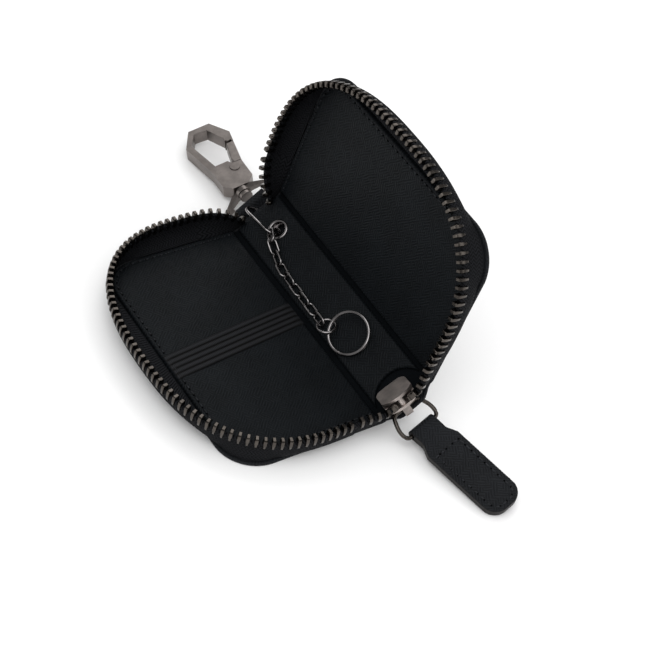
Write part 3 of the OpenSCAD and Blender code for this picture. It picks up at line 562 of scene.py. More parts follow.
def finish_of(name):
    """The material of a given name, made when it is first asked for."""
    if name not in MATERIALS:
        scene = bpy.context.scene
        hide, cloth, metal = scene.key_case_leather, scene.key_case_cloth, scene.key_case_metal
        makers = {
            "outer_leather": lambda: cross_grain_leather(name, hide.outer, hide.grain),
            "lining_leather": lambda: cross_grain_leather(name, hide.lining, hide.grain),
            # The leather's back: its nap is real, its darkness below the lining is painted shade
            "leather_back": lambda: leather_back(name, hide.lining, 0.45),
            # Near-black napped spots, as painted shade in the needle holes
            "needle_hole": lambda: leather_back(name, hide.lining, 0.12),
            "edge_paint": lambda: painted_edge(name, hide.edge),
            "thread": lambda: sewing_thread(name, rgba(hide.outer, 1.6)),
            "woven_tape": lambda: herringbone_tape(name, cloth.tape, cloth.band, cloth.yarn),
            "elastic": lambda: ribbed_elastic(name, cloth.tape, cloth.yarn / 2, BAND_W / BAND_RIBS),
            "zip_metal": lambda: plated_metal(name, metal.zip, 0.22, 0.14),
            # A paler, rougher copy of the clasp metal for the slider: its extra brightness is
            # painted light on the plates
            "slider_metal": lambda: plated_metal(name, rgba(metal.clasp, 2.5), 0.46, 0.12),
            "clasp_metal": lambda: plated_metal(name, metal.clasp, 0.36, 0.14),
            "wire_steel": lambda: plated_metal(name, metal.wire, 0.13, 0.1),
        }
        MATERIALS[name] = makers[name]()
    return MATERIALS[name]


# ---------------------------------------------------------------- leather panels
EDGE_STEPS = np.array([0, 0.05, 0.14, 0.28, 0.46, 0.68, 0.95, 1.15, 1.35, 1.55, 1.8, 2.2, 2.8])


def stations(low, high, count, clustered=(True, True)):
    """Places from low to high: close together at the clustered ends, in even steps between."""
    first = low + EDGE_STEPS if clustered[0] else np.array([low])
    last = high - EDGE_STEPS[::-1] if clustered[1] else np.array([high])
    return np.concatenate([first, np.linspace(first[-1], last[0], count + 1)[1:-1], last])


def corner_measures(inset):
    """Corner radius, width and half length of a half's outline at an inset."""
    return CORNER_R - inset, HALF_W - inset, CASE_L / 2 - inset


def half_length(x, inset):
    """Half of a half's length at a distance from the fold."""
    r, w, l = corner_measures(inset)
    past = np.clip(x - (w - r), 0, r)
    return l - r + np.sqrt(np.maximum(r * r - past * past, 0))


def edge_distance(x, y, inset, start):
    """Distance inwards from the outline of a half."""
    r, w, l = corner_measures(inset)
    px, py = np.maximum(x - (w - r), 0), np.maximum(np.abs(y) - (l - r), 0)
    corner = r - np.hypot(px, py)
    return np.minimum(np.minimum(corner, np.minimum(w - x, l - np.abs(y))), x - start)


def rounded(distance, radius):
    """Drop of a rounded edge below its face."""
    d = np.clip(distance, 0, radius)
    return radius - np.sqrt(np.maximum(radius**2 - (radius - d) ** 2, 0))


def ripple(x, y, seed):
    """A slow unevenness of soft leather, between -1 and 1."""
    a = np.sin(x * 0.31 + seed * 1.7) * np.sin(y * 0.173 + seed)
    b = np.sin(x * 0.127 + y * 0.211 + seed * 2.3)
    return 0.55 * a + 0.45 * b


STITCH_INSET = 1.45
COVER_STITCH = LINING_INSET + STITCH_INSET
LINING_GROOVE, LINING_GROOVE_W, LINING_EDGE_R, LINING_SINK = 0.22, 0.42, 0.85, 0.08
COVER_GROOVE, COVER_GROOVE_W, COVER_EDGE_R, COVER_SWELL = 0.16, 0.4, 0.5, 0.05


def lining_panel(name, matrix, xs, low, high, distance, top, bottom, seed, sewn):
    """A lining with a rounded edge and a sewn groove, in a hinge frame."""
    ys = np.array([stations(low(x), high(x), 64) for x in xs])
    grid_x = np.repeat(xs[:, None], ys.shape[1], 1)
    d = distance(grid_x, ys)
    off_line = (sewn(grid_x, ys) - STITCH_INSET) / LINING_GROOVE_W
    groove = LINING_GROOVE * np.exp(-(off_line**2))
    inside = np.clip((d - 2) / 6, 0, 1)
    sink = inside * LINING_SINK * (1 - ripple(grid_x, ys, seed))
    z = top - rounded(d, LINING_EDGE_R) - groove - sink
    upper = np.stack([grid_x, ys, z], 2)
    lower = np.stack([grid_x, ys, np.full_like(z, bottom)], 2)
    return slab(name, put(matrix, upper), put(matrix, lower), upper[:, :, :2] / 10,
                [finish_of("lining_leather")], 40)


def half_lining(name, matrix, seed):
    """The lining of one half, sewn along its three outer sides."""
    start, inset = PLY_SETBACK, LINING_INSET
    return lining_panel(
        name, matrix, stations(start, HALF_W - inset, 36),
        lambda x: -half_length(x, inset), lambda x: half_length(x, inset),
        lambda x, y: edge_distance(x, y, inset, start), LINING_TOP, COVER_TOP + 0.02, seed,
        lambda x, y: edge_distance(x, y, inset, start - STITCH_INSET))


def outline_path(inset, start):
    """The outline of a half at an inset, from the fold round the outer edge and back."""
    r, w, l = corner_measures(inset)
    arc = np.linspace(-math.pi / 2, 0, 24)
    corner = np.stack([w - r + r * np.cos(arc), -(l - r) + r * np.sin(arc)], 1)
    lower = np.concatenate([[[start, -l]], corner])
    return np.concatenate([lower, lower[::-1] * [1, -1]])


def fold_path(end_a, end_b, turn_r):
    """Stations along a cover's middle through one fold: distance, place and normal in its plane.

    The first leg runs level towards the fold and the second rises at the fold's angle."""
    angle = math.radians(FOLD_DEG)
    tangent = turn_r * math.tan(angle / 2)
    s = np.concatenate([
        stations(-end_a, -tangent, int(end_a / 1.3), (end_a > SPINE_W, False)),
        np.linspace(-tangent, tangent, 14)[1:-1],
        stations(tangent, end_b, int(end_b / 1.3), (False, end_b > SPINE_W)),
    ])
    t = np.clip((s + tangent) / (2 * tangent), 0, 1) * angle
    arc = (s > -tangent) & (s < tangent)
    x = np.where(arc, -tangent + turn_r * np.sin(t), np.where(s < 0, s, s * math.cos(angle)))
    z = np.where(arc, turn_r * (1 - np.cos(t)), np.where(s < 0, 0, s * math.sin(angle)))
    return s, np.stack([x, z], 1), np.stack([-np.sin(t), np.cos(t)], 1)


def cover_sheet(name, matrix, end_a, end_b, seed):
    """Outer leather of one half and half of the spine, in a frame whose x crosses the fold."""
    s, middle, normal = fold_path(end_a, end_b, FOLD_R)
    far = np.where(np.abs(s) > SPINE_W / 2 + 1, np.abs(s), 0)
    into = s if end_b < HALF_W else -s
    lip = np.clip((into - 0.6) / 5, 0, 1)
    lip = LIP * lip * lip * (3 - 2 * lip)
    ends = [(half_length(f, 0), e) for f, e in zip(far, lip)]
    ys = np.array([stations(-end - extra, end, 60) for end, extra in ends])
    count = ys.shape[1]
    past = np.clip((-ys - 40) / 5, 0, 1)
    d = edge_distance(np.repeat(far[:, None], count, 1), ys + lip[:, None] * past, 0, -9.0)
    drop = rounded(d, COVER_EDGE_R)
    on_half = np.clip((far[:, None] - 11) / 6, 0, 1)
    swell = COVER_SWELL * np.clip(d / 5, 0, 1) * on_half * ripple(s[:, None], ys, seed)
    off_line = (d - COVER_STITCH) / COVER_GROOVE_W
    groove = COVER_GROOVE * np.exp(-(off_line**2)) * np.clip(far[:, None] / 4, 0, 1)
    dip = 0.3 * np.clip(-ys - 44.5, 0, 1)
    grids = []
    for face in (1, -1):
        offset = face * (COVER_TOP - drop) + (swell if face > 0 else groove) - dip
        x = middle[:, :1] + normal[:, :1] * offset
        z = middle[:, 1:] + normal[:, 1:] * offset
        grids.append(put(matrix, np.stack([x, ys, z], 2)))
    uv = np.stack([np.repeat(s[:, None], count, 1), ys], 2) / 10
    # The inner side past the tape takes the darkened leather back, as painted shade in the fold
    # channels and under the arch.
    finishes = [finish_of("outer_leather"), finish_of("leather_back")]
    piece = slab(name, *grids, uv, finishes, 40)
    for i in range(len(s) - 1):
        for j in range(count - 1):
            if d[i, j] > TAPE_INSET + 0.5:
                piece.data.polygons[i * (count - 1) + j].material_index = 1
    return piece


# ---------------------------------------------------------------- repeats
GROWTH_NODES = {
    "instances": ("GeometryNodeInstanceOnPoints", {}, {}),
    "real": ("GeometryNodeRealizeInstances", {}, {}),
    "paint": ("GeometryNodeSetMaterial", {}, {}),
}
GROWTH_LINKS = (
    ("instances", "Instances", "real", "Geometry"),
    ("real", "Geometry", "paint", "Geometry"),
    ("in", "Finish", "paint", "Material"),
    ("paint", "Geometry", "out", "Geometry"),
)


def growth_tree(name, inputs, nodes, links):
    """A node tree that sets a shape at points, makes it real and gives it its finish.

    A node is its type, its settings and the values of its sockets."""
    tree = bpy.data.node_groups.new(name, "GeometryNodeTree")
    tree.is_modifier = True
    face = tree.interface
    face.new_socket("Geometry", in_out="INPUT", socket_type="NodeSocketGeometry")
    ids = {}
    for key, (kind, default) in {**inputs, "Finish": ("Material", None)}.items():
        socket = face.new_socket(key, in_out="INPUT", socket_type="NodeSocket" + kind)
        if default is not None:
            socket.default_value = default
        ids[key] = socket.identifier
    face.new_socket("Geometry", in_out="OUTPUT", socket_type="NodeSocketGeometry")
    made = {"in": tree.nodes.new("NodeGroupInput"), "out": tree.nodes.new("NodeGroupOutput")}
    for key, (kind, settings, values) in {**nodes, **GROWTH_NODES}.items():
        made[key] = tree.nodes.new(kind)
        for setting, value in settings.items():
            setattr(made[key], setting, value)
        for socket, value in values.items():
            made[key].inputs[socket].default_value = value
    for source, output, target, socket in (*links, *GROWTH_LINKS):
        tree.links.new(made[source].outputs[output], made[target].inputs[socket])
    return tree, ids


def repeat_tree(name):
    """Sets an object at each point of a mesh, turned by the point's own turn."""
    inputs = {"Shape": ("Object", None)}
    vector = {"data_type": "FLOAT_VECTOR"}
    nodes = {
        "shape": ("GeometryNodeObjectInfo", {}, {}),
        "turn": ("GeometryNodeInputNamedAttribute", vector, {"Name": "turn"}),
        "to_turn": ("FunctionNodeEulerToRotation", {}, {}),
    }
    links = (
        ("in", "Shape", "shape", "Object"),
        ("turn", "Attribute", "to_turn", "Euler"),
        ("in", "Geometry", "instances", "Points"),
        ("shape", "Geometry", "instances", "Instance"),
        ("to_turn", "Rotation", "instances", "Rotation"),
    )
    return growth_tree(name, inputs, nodes, links)


def stitch_tree(name):
    """Lays thread stitches of even pitch along an edge path."""
    inputs = {
        "Pitch": ("Float", 0.0028), "Thread": ("Float", 0.0004), "Reach": ("Float", 0.002),
        "Up": ("Vector", (0, 0, 1)),
    }
    ball = {"Segments": 8, "Rings": 6, "Radius": 0.5}
    axes = {"primary_axis": "Z", "secondary_axis": "X"}
    nodes = {
        "curve": ("GeometryNodeMeshToCurve", {}, {}),
        "even": ("GeometryNodeResampleCurve", {"mode": "LENGTH"}, {}),
        "tangent": ("GeometryNodeInputTangent", {}, {}),
        "level": ("FunctionNodeAxesToRotation", axes, {}),
        "ball": ("GeometryNodeMeshUVSphere", {}, ball),
        "shape": ("GeometryNodeTransform", {}, {}),
        "size": ("ShaderNodeCombineXYZ", {}, {}),
    }
    links = (
        ("in", "Geometry", "curve", "Mesh"),
        ("curve", "Curve", "even", "Curve"),
        ("in", "Pitch", "even", "Length"),
        ("tangent", "Tangent", "level", "Secondary Axis"),
        ("in", "Up", "level", "Primary Axis"),
        ("in", "Reach", "size", "X"),
        ("in", "Thread", "size", "Y"),
        ("in", "Thread", "size", "Z"),
        ("ball", "Mesh", "shape", "Geometry"),
        ("size", "Vector", "shape", "Scale"),
        ("even", "Curve", "instances", "Points"),
        ("shape", "Geometry", "instances", "Instance"),
        ("level", "Rotation", "instances", "Rotation"),
    )
    return growth_tree(name, inputs, nodes, links)


TREES = {}


def grown(name, points, edges, maker, attributes, inputs, smooth_deg=50):
    """Runs a node tree on points and edges, and keeps the result as a plain mesh."""
    mesh = bpy.data.meshes.new(name)
    mesh.from_pydata([metres(p) for p in points], edges, [])
    for key, values in attributes.items():
        layer = mesh.attributes.new(key, "FLOAT_VECTOR", "POINT")
        layer.data.foreach_set("vector", np.asarray(values, np.float32).ravel())
    piece = link_object(name, mesh)
    if maker not in TREES:
        TREES[maker] = maker(maker.__name__)
    tree, ids = TREES[maker]
    added = piece.modifiers.new("Grow", "NODES")
    added.node_group = tree
    for key, value in inputs.items():
        added[ids[key]] = value
    return baked(piece, smooth_deg)


def stitches(name, path, up, body, thread=0.55):
    """A row of stitches on a body, along a path, with a near-black spot of painted shade for the
    needle hole between each two.
    """
    pitch = bpy.context.scene.key_case_leather.stitch_pitch
    path = resampled(path)
    for suffix, first, width, reach, finish in (
        ("", 0, thread, pitch * STITCH_SHARE, "thread"),
        ("_holes", pitch / 2, thread * HOLE_WIDTH_SHARE, HOLE_REACH, "needle_hole"),
    ):
        points = path[int(first / PATH_STEP):]
        edges = [(i, i + 1) for i in range(len(points) - 1)]
        inputs = {"Pitch": pitch * MM, "Thread": width * MM, "Reach": reach * MM,
                  "Up": tuple(float(v) for v in up), "Finish": finish_of(finish)}
        piece = grown(name + suffix, points, edges, stitch_tree, {}, inputs, 80)
        seated(piece, body, "outer_leather")


# ---------------------------------------------------------------- the zip
def spow(v, p):
    """A power that keeps its base's sign."""
    return np.sign(v) * np.abs(v) ** p


def rim(q):
    """A place on the rounded curve that a row's free edge follows."""
    x, y = (spow(f(q), 2 / RIM_POWER) for f in (np.cos, np.sin))
    return np.stack([RIM_CX + RIM_AX * x, RIM_AY * y], -1)


ROW_Q = math.acos(-(((RIM_CX - ROW_START) / RIM_AX) ** (RIM_POWER / 2)))
RIM_Q = ROW_Q * (1 - 2 * np.linspace(0, 1, 721))
RIM_S = run_length(rim(RIM_Q))
RIM_LEN = RIM_S[-1]


def q_at(s):
    return np.interp(s, RIM_S, RIM_Q)


def foot(q):
    """The point of the tape's sewn line on the ray from the rim's centre."""
    d = rim(q) - [RIM_CX, 0]
    r, x, y = corner_measures(TAPE_INSET)
    side = (x - RIM_CX) / d[0] if d[0] > 0 else CASE_L
    t = min(side, y / max(abs(d[1]), 1e-3))
    c = np.array([x - r - RIM_CX, math.copysign(y - r, d[1])])
    if t * d[0] > c[0] and abs(t * d[1]) > abs(c[1]):
        b = d @ c
        t = (b + math.sqrt(b * b - (d @ d) * (c @ c - r * r))) / (d @ d)
    return np.array([RIM_CX, 0]) + t * d


def wall_section(q, steps=4):
    """Section of the tape at one place, from its foot to its free edge between the teeth."""
    f, r, c = foot(q), rim(q), np.array([RIM_CX, 0])
    low = COVER_TOP + TAPE_T / 2
    out = min(1, max(0, (np.linalg.norm(r - c) - np.linalg.norm(f - c)) / 2))
    b = f + (r - f) * out
    bow = low + (LEG_LOW - low) * (BOW_SHARES[0] + (BOW_SHARES[1] - BOW_SHARES[0]) * out)
    t = np.linspace(0, 1, steps + 1)[:, None]
    a, m, z = np.array([*f, low]), np.array([*b, bow]), np.array([*r, LEG_LOW])
    bend = a * (1 - t) ** 2 + m * 2 * t * (1 - t) + z * t**2
    return np.concatenate([bend, [[*r, TAPE_EDGE]]])


# The tape's section where it enters the slider, and where it ends on the spine, for each side
MOUTH = np.array([
    [-3.6, 3.5, -0.15], [-5.5, 1.3, 0.85], [-6.7, -0.9, 2.4],
    [-6.3, -2.3, 3.9], [-5.1, -2.7, 4.2], [-3.6, -2.7, 4.2],
])
TAIL_AT = np.array([[4.6, 42.2, 3.9], [14.6, 40.6, 3.7]])
TAIL_FOOT = np.array([[4.2, 44.1, 0.85], [15.6, 43.9, 0.85]])
TAIL_UP = np.array([[-0.35, 0.35, 0.87], [0.35, 0.35, 0.87]])


def bezier(p, t):
    t = np.asarray(t)[..., None]
    near = p[0] * (1 - t) ** 3 + p[1] * 3 * t * (1 - t) ** 2
    return near + p[2] * 3 * t**2 * (1 - t) + p[3] * t**3


class FreeStretch:
    """The stretch of zip from one end of a row to the spine, in the row's frame."""

    def __init__(self, side, end):
        q = end * ROW_Q
        place = ON_FRONT if side else ON_BASE
        self.first = put(place, wall_section(q))
        if end < 0:
            self.last = put(ON_SLIDER, MOUTH * [1 if side == 0 else -1, 1, 1])
            arrive = ON_SLIDER[:3, :3] @ [0, -1, 0]
        else:
            share = np.linspace(0, 1, 6)[:, None]
            self.last = put(ON_SPINE, TAIL_FOOT[side] + (TAIL_AT[side] - TAIL_FOOT[side]) * share)
            arrive = ON_SPINE[:3, :3] @ TAIL_UP[side]
        tangent = rim(q) - rim(q * 0.98)
        tangent = place[:3, :3] @ [*(tangent / np.linalg.norm(tangent)), 0]
        a, z = self.first[-1], self.last[-1]
        reach = np.linalg.norm(z - a) * EDGE_REACH
        self.edge = [a, a + tangent * reach, z + arrive * reach, z]
        a, z = self.first[0], self.last[0]
        local = put(np.linalg.inv(place), a)
        crease = put(place, [ROW_START * CREASE_SHARE, local[1], COVER_TOP - CREASE_DROP])
        self.foot = [a, a + (crease - a) * CREASE_PULL, z + (crease - z) * CREASE_PULL, z]

    def section(self, t):
        """The tape's section at a share of the way, between the row's section and the last one."""
        g = np.linspace(0, 1, 6)[:, None]
        a, b = bezier(self.foot, t), bezier(self.edge, t)
        start = self.first - (self.first[0] + (self.first[-1] - self.first[0]) * g)
        finish = self.last - (self.last[0] + (self.last[-1] - self.last[0]) * g)
        return a + (b - a) * g + start * (1 - t) ** 2 + finish * t**2

    def teeth(self):
        """Places and turns of the teeth, as in the part's source."""
        fine = bezier(self.edge, np.linspace(0, 1, 181))
        length = run_length(fine)
        count = int(length[-1] / TOOTH_PITCH)
        places = []
        for i in range(count):
            t = np.interp((i + 0.5) * length[-1] / count, length, np.linspace(0, 1, 181))
            c = self.section(t)
            x = bezier(self.edge, t + 0.01) - bezier(self.edge, t - 0.01)
            x /= np.linalg.norm(x)
            u = c[5] - c[4]
            z = u - x * (u @ x)
            z /= np.linalg.norm(z)
            places.append((c[5] - z * TAPE_EDGE, np.stack([x, np.cross(z, x), z], 1)))
        return places


def softened(grid, rounds=2):
    """Eases the bends across a grid without moving its border."""
    for _ in range(rounds):
        eased = grid.copy()
        eased[:, 1:-1] = (grid[:, :-2] + 2 * grid[:, 1:-1] + grid[:, 2:]) / 4
        grid = eased
    return grid


# Height past the free edge and half thickness of the cord in it
CORD = np.array([[-0.8, 0.42], [-0.62, 0.6], [-0.35, 0.7], [-0.1, 0.62], [0.08, 0.32]])


def tape_sheet(name, grid):
    """A woven sheet about a grid of points, with a cord in its free edge for the teeth to grip."""
    up = grid[:, -1] - grid[:, -2]
    up /= np.linalg.norm(up, axis=1, keepdims=True)
    cord = grid[:, -1:] + up[:, None] * CORD[None, :, :1]
    grid = np.concatenate([grid[:, :-1], cord], 1)
    normal = grid_normals(grid)
    share = np.full(grid.shape[1], SHEET_T / 2)
    share[0] *= 0.6
    share[-len(CORD):] = CORD[:, 1]
    half = normal * share[None, :, None]
    along = run_length(grid[:, -1])
    across = run_length(grid[0])
    uv = np.stack(np.meshgrid(along, across, indexing="ij"), 2) / 10
    return slab(name, grid + half, grid - half, uv, [finish_of("woven_tape")], 60)


def tooth_shape():
    """One metal tooth: two legs that grip the tape, and a head with a nib on one face."""
    t, b, w = TOOTH_T / 2, TAPE_T / 2 + 0.02, TOOTH_W / 2
    outline = np.array([
        [-t * 0.9, LEG_LOW + 0.5], [-t * 0.62, LEG_LOW], [-b, LEG_LOW + 0.12],
        [-b, TAPE_EDGE + 0.05], [b, TAPE_EDGE + 0.05], [b, LEG_LOW + 0.12],
        [t * 0.62, LEG_LOW], [t * 0.9, LEG_LOW + 0.5], [t, TAPE_EDGE + 0.2],
        [t * 0.93, HEAD_TOP - 0.5], [t * 0.6, HEAD_TOP - 0.05], [-t * 0.6, HEAD_TOP - 0.05],
        [-t * 0.93, HEAD_TOP - 0.5], [-t, TAPE_EDGE + 0.2],
    ])
    middle = np.array([0, (TAPE_EDGE + HEAD_TOP) / 2])
    inner = outline + np.array([
        [0.08, 0.1], [0.04, 0.12], [-0.06, 0.1], [-0.06, 0.1], [0.06, 0.1], [0.06, 0.1],
        [-0.04, 0.12], [-0.08, 0.1], [-0.12, 0], [-0.12, -0.04], [-0.08, -0.12], [0.08, -0.12],
        [0.12, -0.04], [0.12, 0],
    ])
    count = len(outline)
    points, faces = [], []
    for x, ring in ((-w, inner), (-w + 0.13, outline), (w - 0.13, outline), (w, inner)):
        points += [(x * (0.7 if z < LEG_LOW + 0.7 else 1.0), y, z) for y, z in ring]
    faces += grid_faces(4, count, wrap=True)
    points += [(w + 0.14, *(middle + [0, 0.28])), (-w + 0.22, *(middle + [0, 0.28]))]
    nib, dimple = len(points) - 2, len(points) - 1
    head = [9, 10, 11, 12]
    for first, tip in ((3 * count, nib), (0, dimple)):
        ring = [first + k for k in head]
        faces += [(start, stop, tip) for start, stop in zip(ring, ring[1:] + ring[:1])]
        for side in ((8, 9, 12, 13), (8, 13, 3, 4), (0, 1, 2, 3, 13), (4, 5, 6, 7, 8)):
            faces.append(tuple(first + k for k in side))
    return np.array(points), faces


def teeth_piece(name, places, template):
    """A row of teeth at the given places."""
    turns = [tuple(Matrix(rotation.tolist()).to_euler()) for _, rotation in places]
    inputs = {"Shape": template, "Finish": finish_of("zip_metal")}
    return grown(name, [p for p, _ in places], [], repeat_tree, {"turn": turns}, inputs, 40)


def row_places(matrix, phase):
    """Places and turns of the teeth of one half's row."""
    count = int(RIM_LEN / TOOTH_PITCH)
    lead = (RIM_LEN - count * TOOTH_PITCH) / 2 + TOOTH_W / 2
    places = []
    for i in range(count):
        s = lead + (i + phase) * TOOTH_PITCH
        a, b = rim(q_at(s - TOOTH_W / 2)), rim(q_at(s + TOOTH_W / 2))
        x = np.array([*(b - a), 0]) / np.linalg.norm(b - a)
        z = np.array([0, 0, 1.0])
        local = np.stack([x, np.cross(z, x), z], 1)
        rotation = matrix[:3, :3] @ local
        if np.linalg.det(rotation) < 0:
            rotation = rotation @ np.diag([-1.0, 1, 1])
        places.append((put(matrix, [*((a + b) / 2), 0]), rotation))
    return places


# ---------------------------------------------------------------- operators
class MakeOuterLeather(bpy.types.Operator):
    """Makes the outer leather as two sheets that meet on the spine and bend at the folds"""

    bl_idname = "key_case.outer_leather"
    bl_label = "Outer leather"

    def execute(self, context):
        middle = SPINE_W / 2
        on_first, on_second = moved(HALF_W / 2, 0, COVER_TOP), ON_FRONT @ turned("Y", FOLD_DEG)
        first = cover_sheet("outer_leather_flat", on_first, HALF_W, middle, 1)
        second = cover_sheet("outer_leather_standing", on_second, middle, HALF_W, 2)
        level = moved(0, 0, 0)
        for piece, a, b, fold, near, past, nodes in (
            (first, "base", "spine", FOLD_A, level, ON_SPINE, ("base_cover", "spine_cover")),
            (second, "spine", "front", FOLD_B, ON_SPINE, ON_FRONT, ("front_cover",)),
        ):
            cut_eyelet(piece)
            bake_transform(piece)
            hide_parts(*nodes)
        path = outline_path(COVER_STITCH, 6.0)
        path = np.column_stack([path, np.full(len(path), 0.25 - COVER_TOP)])
        for name, matrix, body in (
            ("flat_cover", ON_BASE, "base"), ("standing_cover", ON_FRONT, "front"),
        ):
            stitches(name + "_stitches", put(matrix, path), -matrix[:3, 2], body, 0.5)
        return {"FINISHED"}


def cut_eyelet(piece):
    """Cuts the eyelet's hole through a leather sheet."""
    bpy.ops.mesh.primitive_cylinder_add(vertices=48, radius=EYE_BORE_R * MM, depth=0.03)
    cutter = bpy.context.object
    cutter.matrix_world = Matrix((ON_SPINE @ moved(*EYE_AT, 0)).tolist())
    cutter.location = metres(put(ON_SPINE, [*EYE_AT, 0]))
    modifier(piece, "BOOLEAN", operation="DIFFERENCE", solver="EXACT", object=cutter)
    baked(piece, 40)
    bpy.data.objects.remove(cutter)


class MakeLinings(bpy.types.Operator):
    """Makes the three linings, their stitching and the elastic band"""

    bl_idname = "key_case.linings"
    bl_label = "Linings and band"

    def execute(self, context):
        path = outline_path(COVER_STITCH, PLY_SETBACK + STITCH_INSET)
        path = np.column_stack([path, np.full(len(path), LINING_TOP - 0.1)])
        for name, matrix, body, seed in (
            ("flat", ON_BASE, "base", 3), ("standing", ON_FRONT, "front", 4),
        ):
            piece = half_lining(name + "_lining", matrix, seed)
            seated(piece, body, "lining_leather", body + "_lining", body + "_board")
            stitches(name + "_lining_stitches", put(matrix, path), matrix[:3, 2], body, 0.5)
        self.spine_lining()
        self.band()
        return {"FINISHED"}

    def spine_lining(self):
        """The spine's lining, with an arch round the slider."""
        start, stop = SPINE_SETBACK, SPINE_W - SPINE_SETBACK
        l = CASE_L / 2 - LINING_INSET

        def low(x):
            inside = ARCH_R**2 - (x - ARCH_AT[0]) ** 2
            return max(-l, ARCH_AT[1] + math.sqrt(max(inside, 0)))

        def distance(x, y):
            arch = np.hypot(x - ARCH_AT[0], y - ARCH_AT[1]) - ARCH_R
            return np.minimum(np.minimum(x - start, stop - x), np.minimum(l - y, arch))

        def unsewn(x, y):
            return np.full_like(x, CASE_L)

        piece = lining_panel(
            "spine_lining_leather", ON_SPINE, stations(start, stop, 14), low, lambda x: l,
            distance, LINING_TOP, COVER_TOP + 0.02, 5, unsewn)
        cut_eyelet(piece)
        seated(piece, "spine", "lining_leather", "spine_lining", "spine_board")

    def band(self):
        """Ribbed elastic across the flat half, its ends caught under the lining's sewn edge."""
        width, ribs, turn = BAND_W, BAND_RIBS, math.radians(BAND_DEG)
        low, high = PLY_SETBACK + 0.3, HALF_W - LINING_INSET - 0.4
        along = np.concatenate([[low], np.linspace(low + 0.4, high - 0.4, 70), [high]])
        across = np.linspace(-width / 2, width / 2, ribs * 10 + 1)
        u, v = np.meshgrid(along, across, indexing="ij")
        rib = np.abs(np.sin((v / width + 0.5) * ribs * math.pi)) ** 0.6
        edge = np.clip((width / 2 - np.abs(v)) / 0.3, 0, 1)
        ends = np.clip(np.minimum(u - low, high - u) / 1.6, 0, 1)
        lift = BAND_LIFT + BAND_BOW * np.sin((u - low) / (high - low) * math.pi)
        z = LINING_TOP - BAND_SINK + ends * (lift + BAND_RISE + BAND_RIB * rib * edge)
        past_middle = u - (low + high) / 2
        y = v * math.cos(turn) + past_middle * math.sin(turn) + CASE_L * BAND_Y_SHARE
        top = put(ON_BASE, np.stack([u, y, z], 2))
        bottom = put(ON_BASE, np.stack([u, y, LINING_TOP - 0.12 + ends * lift * 0.5], 2))
        uv = np.stack([u, v], 2) / 10
        piece = slab("elastic_webbing", top, bottom, uv, [finish_of("elastic")], 60)
        seated(piece, "base", "woven_tape", "elastic_band")


class MakeZip(bpy.types.Operator):
    """Makes the woven tape and the teeth of both rows and of the free stretches at the spine"""

    bl_idname = "key_case.zip"
    bl_label = "Zip"

    def execute(self, context):
        template = closed_mesh("tooth_template", *tooth_shape(), None, [finish_of("zip_metal")], 40)
        s = np.linspace(0, RIM_LEN, 181)
        wall = np.array([wall_section(q_at(v), 10) for v in s])
        for side, name, body, matrix in (
            (0, "flat", "base", ON_BASE), (1, "standing", "front", ON_FRONT),
        ):
            tape = tape_sheet(name + "_tape", put(matrix, wall))
            seated(tape, body, "woven_tape", body + "_tape")
            teeth = teeth_piece(name + "_teeth", row_places(matrix, 0.5 * side), template)
            seated(teeth, body, "zip_metal", body + "_teeth")
            self.stretches(side, name, body, template)
        bpy.data.objects.remove(template)
        return {"FINISHED"}

    def stretches(self, side, name, body, template):
        """The free stretches of zip at both ends of one row."""
        for end, place in ((-1, "slider"), (1, "clasp")):
            stretch = FreeStretch(side, end)
            grid = np.array([resampled(stretch.section(t), 14) for t in np.linspace(0, 1, 33)])
            tape = tape_sheet(f"{name}_{place}_end_tape", softened(grid))
            teeth = teeth_piece(f"{name}_{place}_end_teeth", stretch.teeth(), template)
            for piece, slot_name, node in (
                (tape, "woven_tape", "end_tape_"), (teeth, "zip_metal", "end_teeth_"),
            ):
                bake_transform(piece)
                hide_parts(node + body)


def flat_uv(piece, inverse):
    """A pattern map in the plane of a frame, in centimetres."""
    points = np.empty(len(piece.data.vertices) * 3)
    piece.data.vertices.foreach_get("co", points)
    write_uv(piece.data, put(inverse, points.reshape(-1, 3) / MM)[:, :2] / 10)


def paint_cut_edges(piece, axis, low, high):
    """Gives the painted edge to the faces whose normal's share along an axis is between limits."""
    for face in piece.data.polygons:
        if low < abs(face.normal.dot(Vector(axis))) < high:
            face.material_index = 1


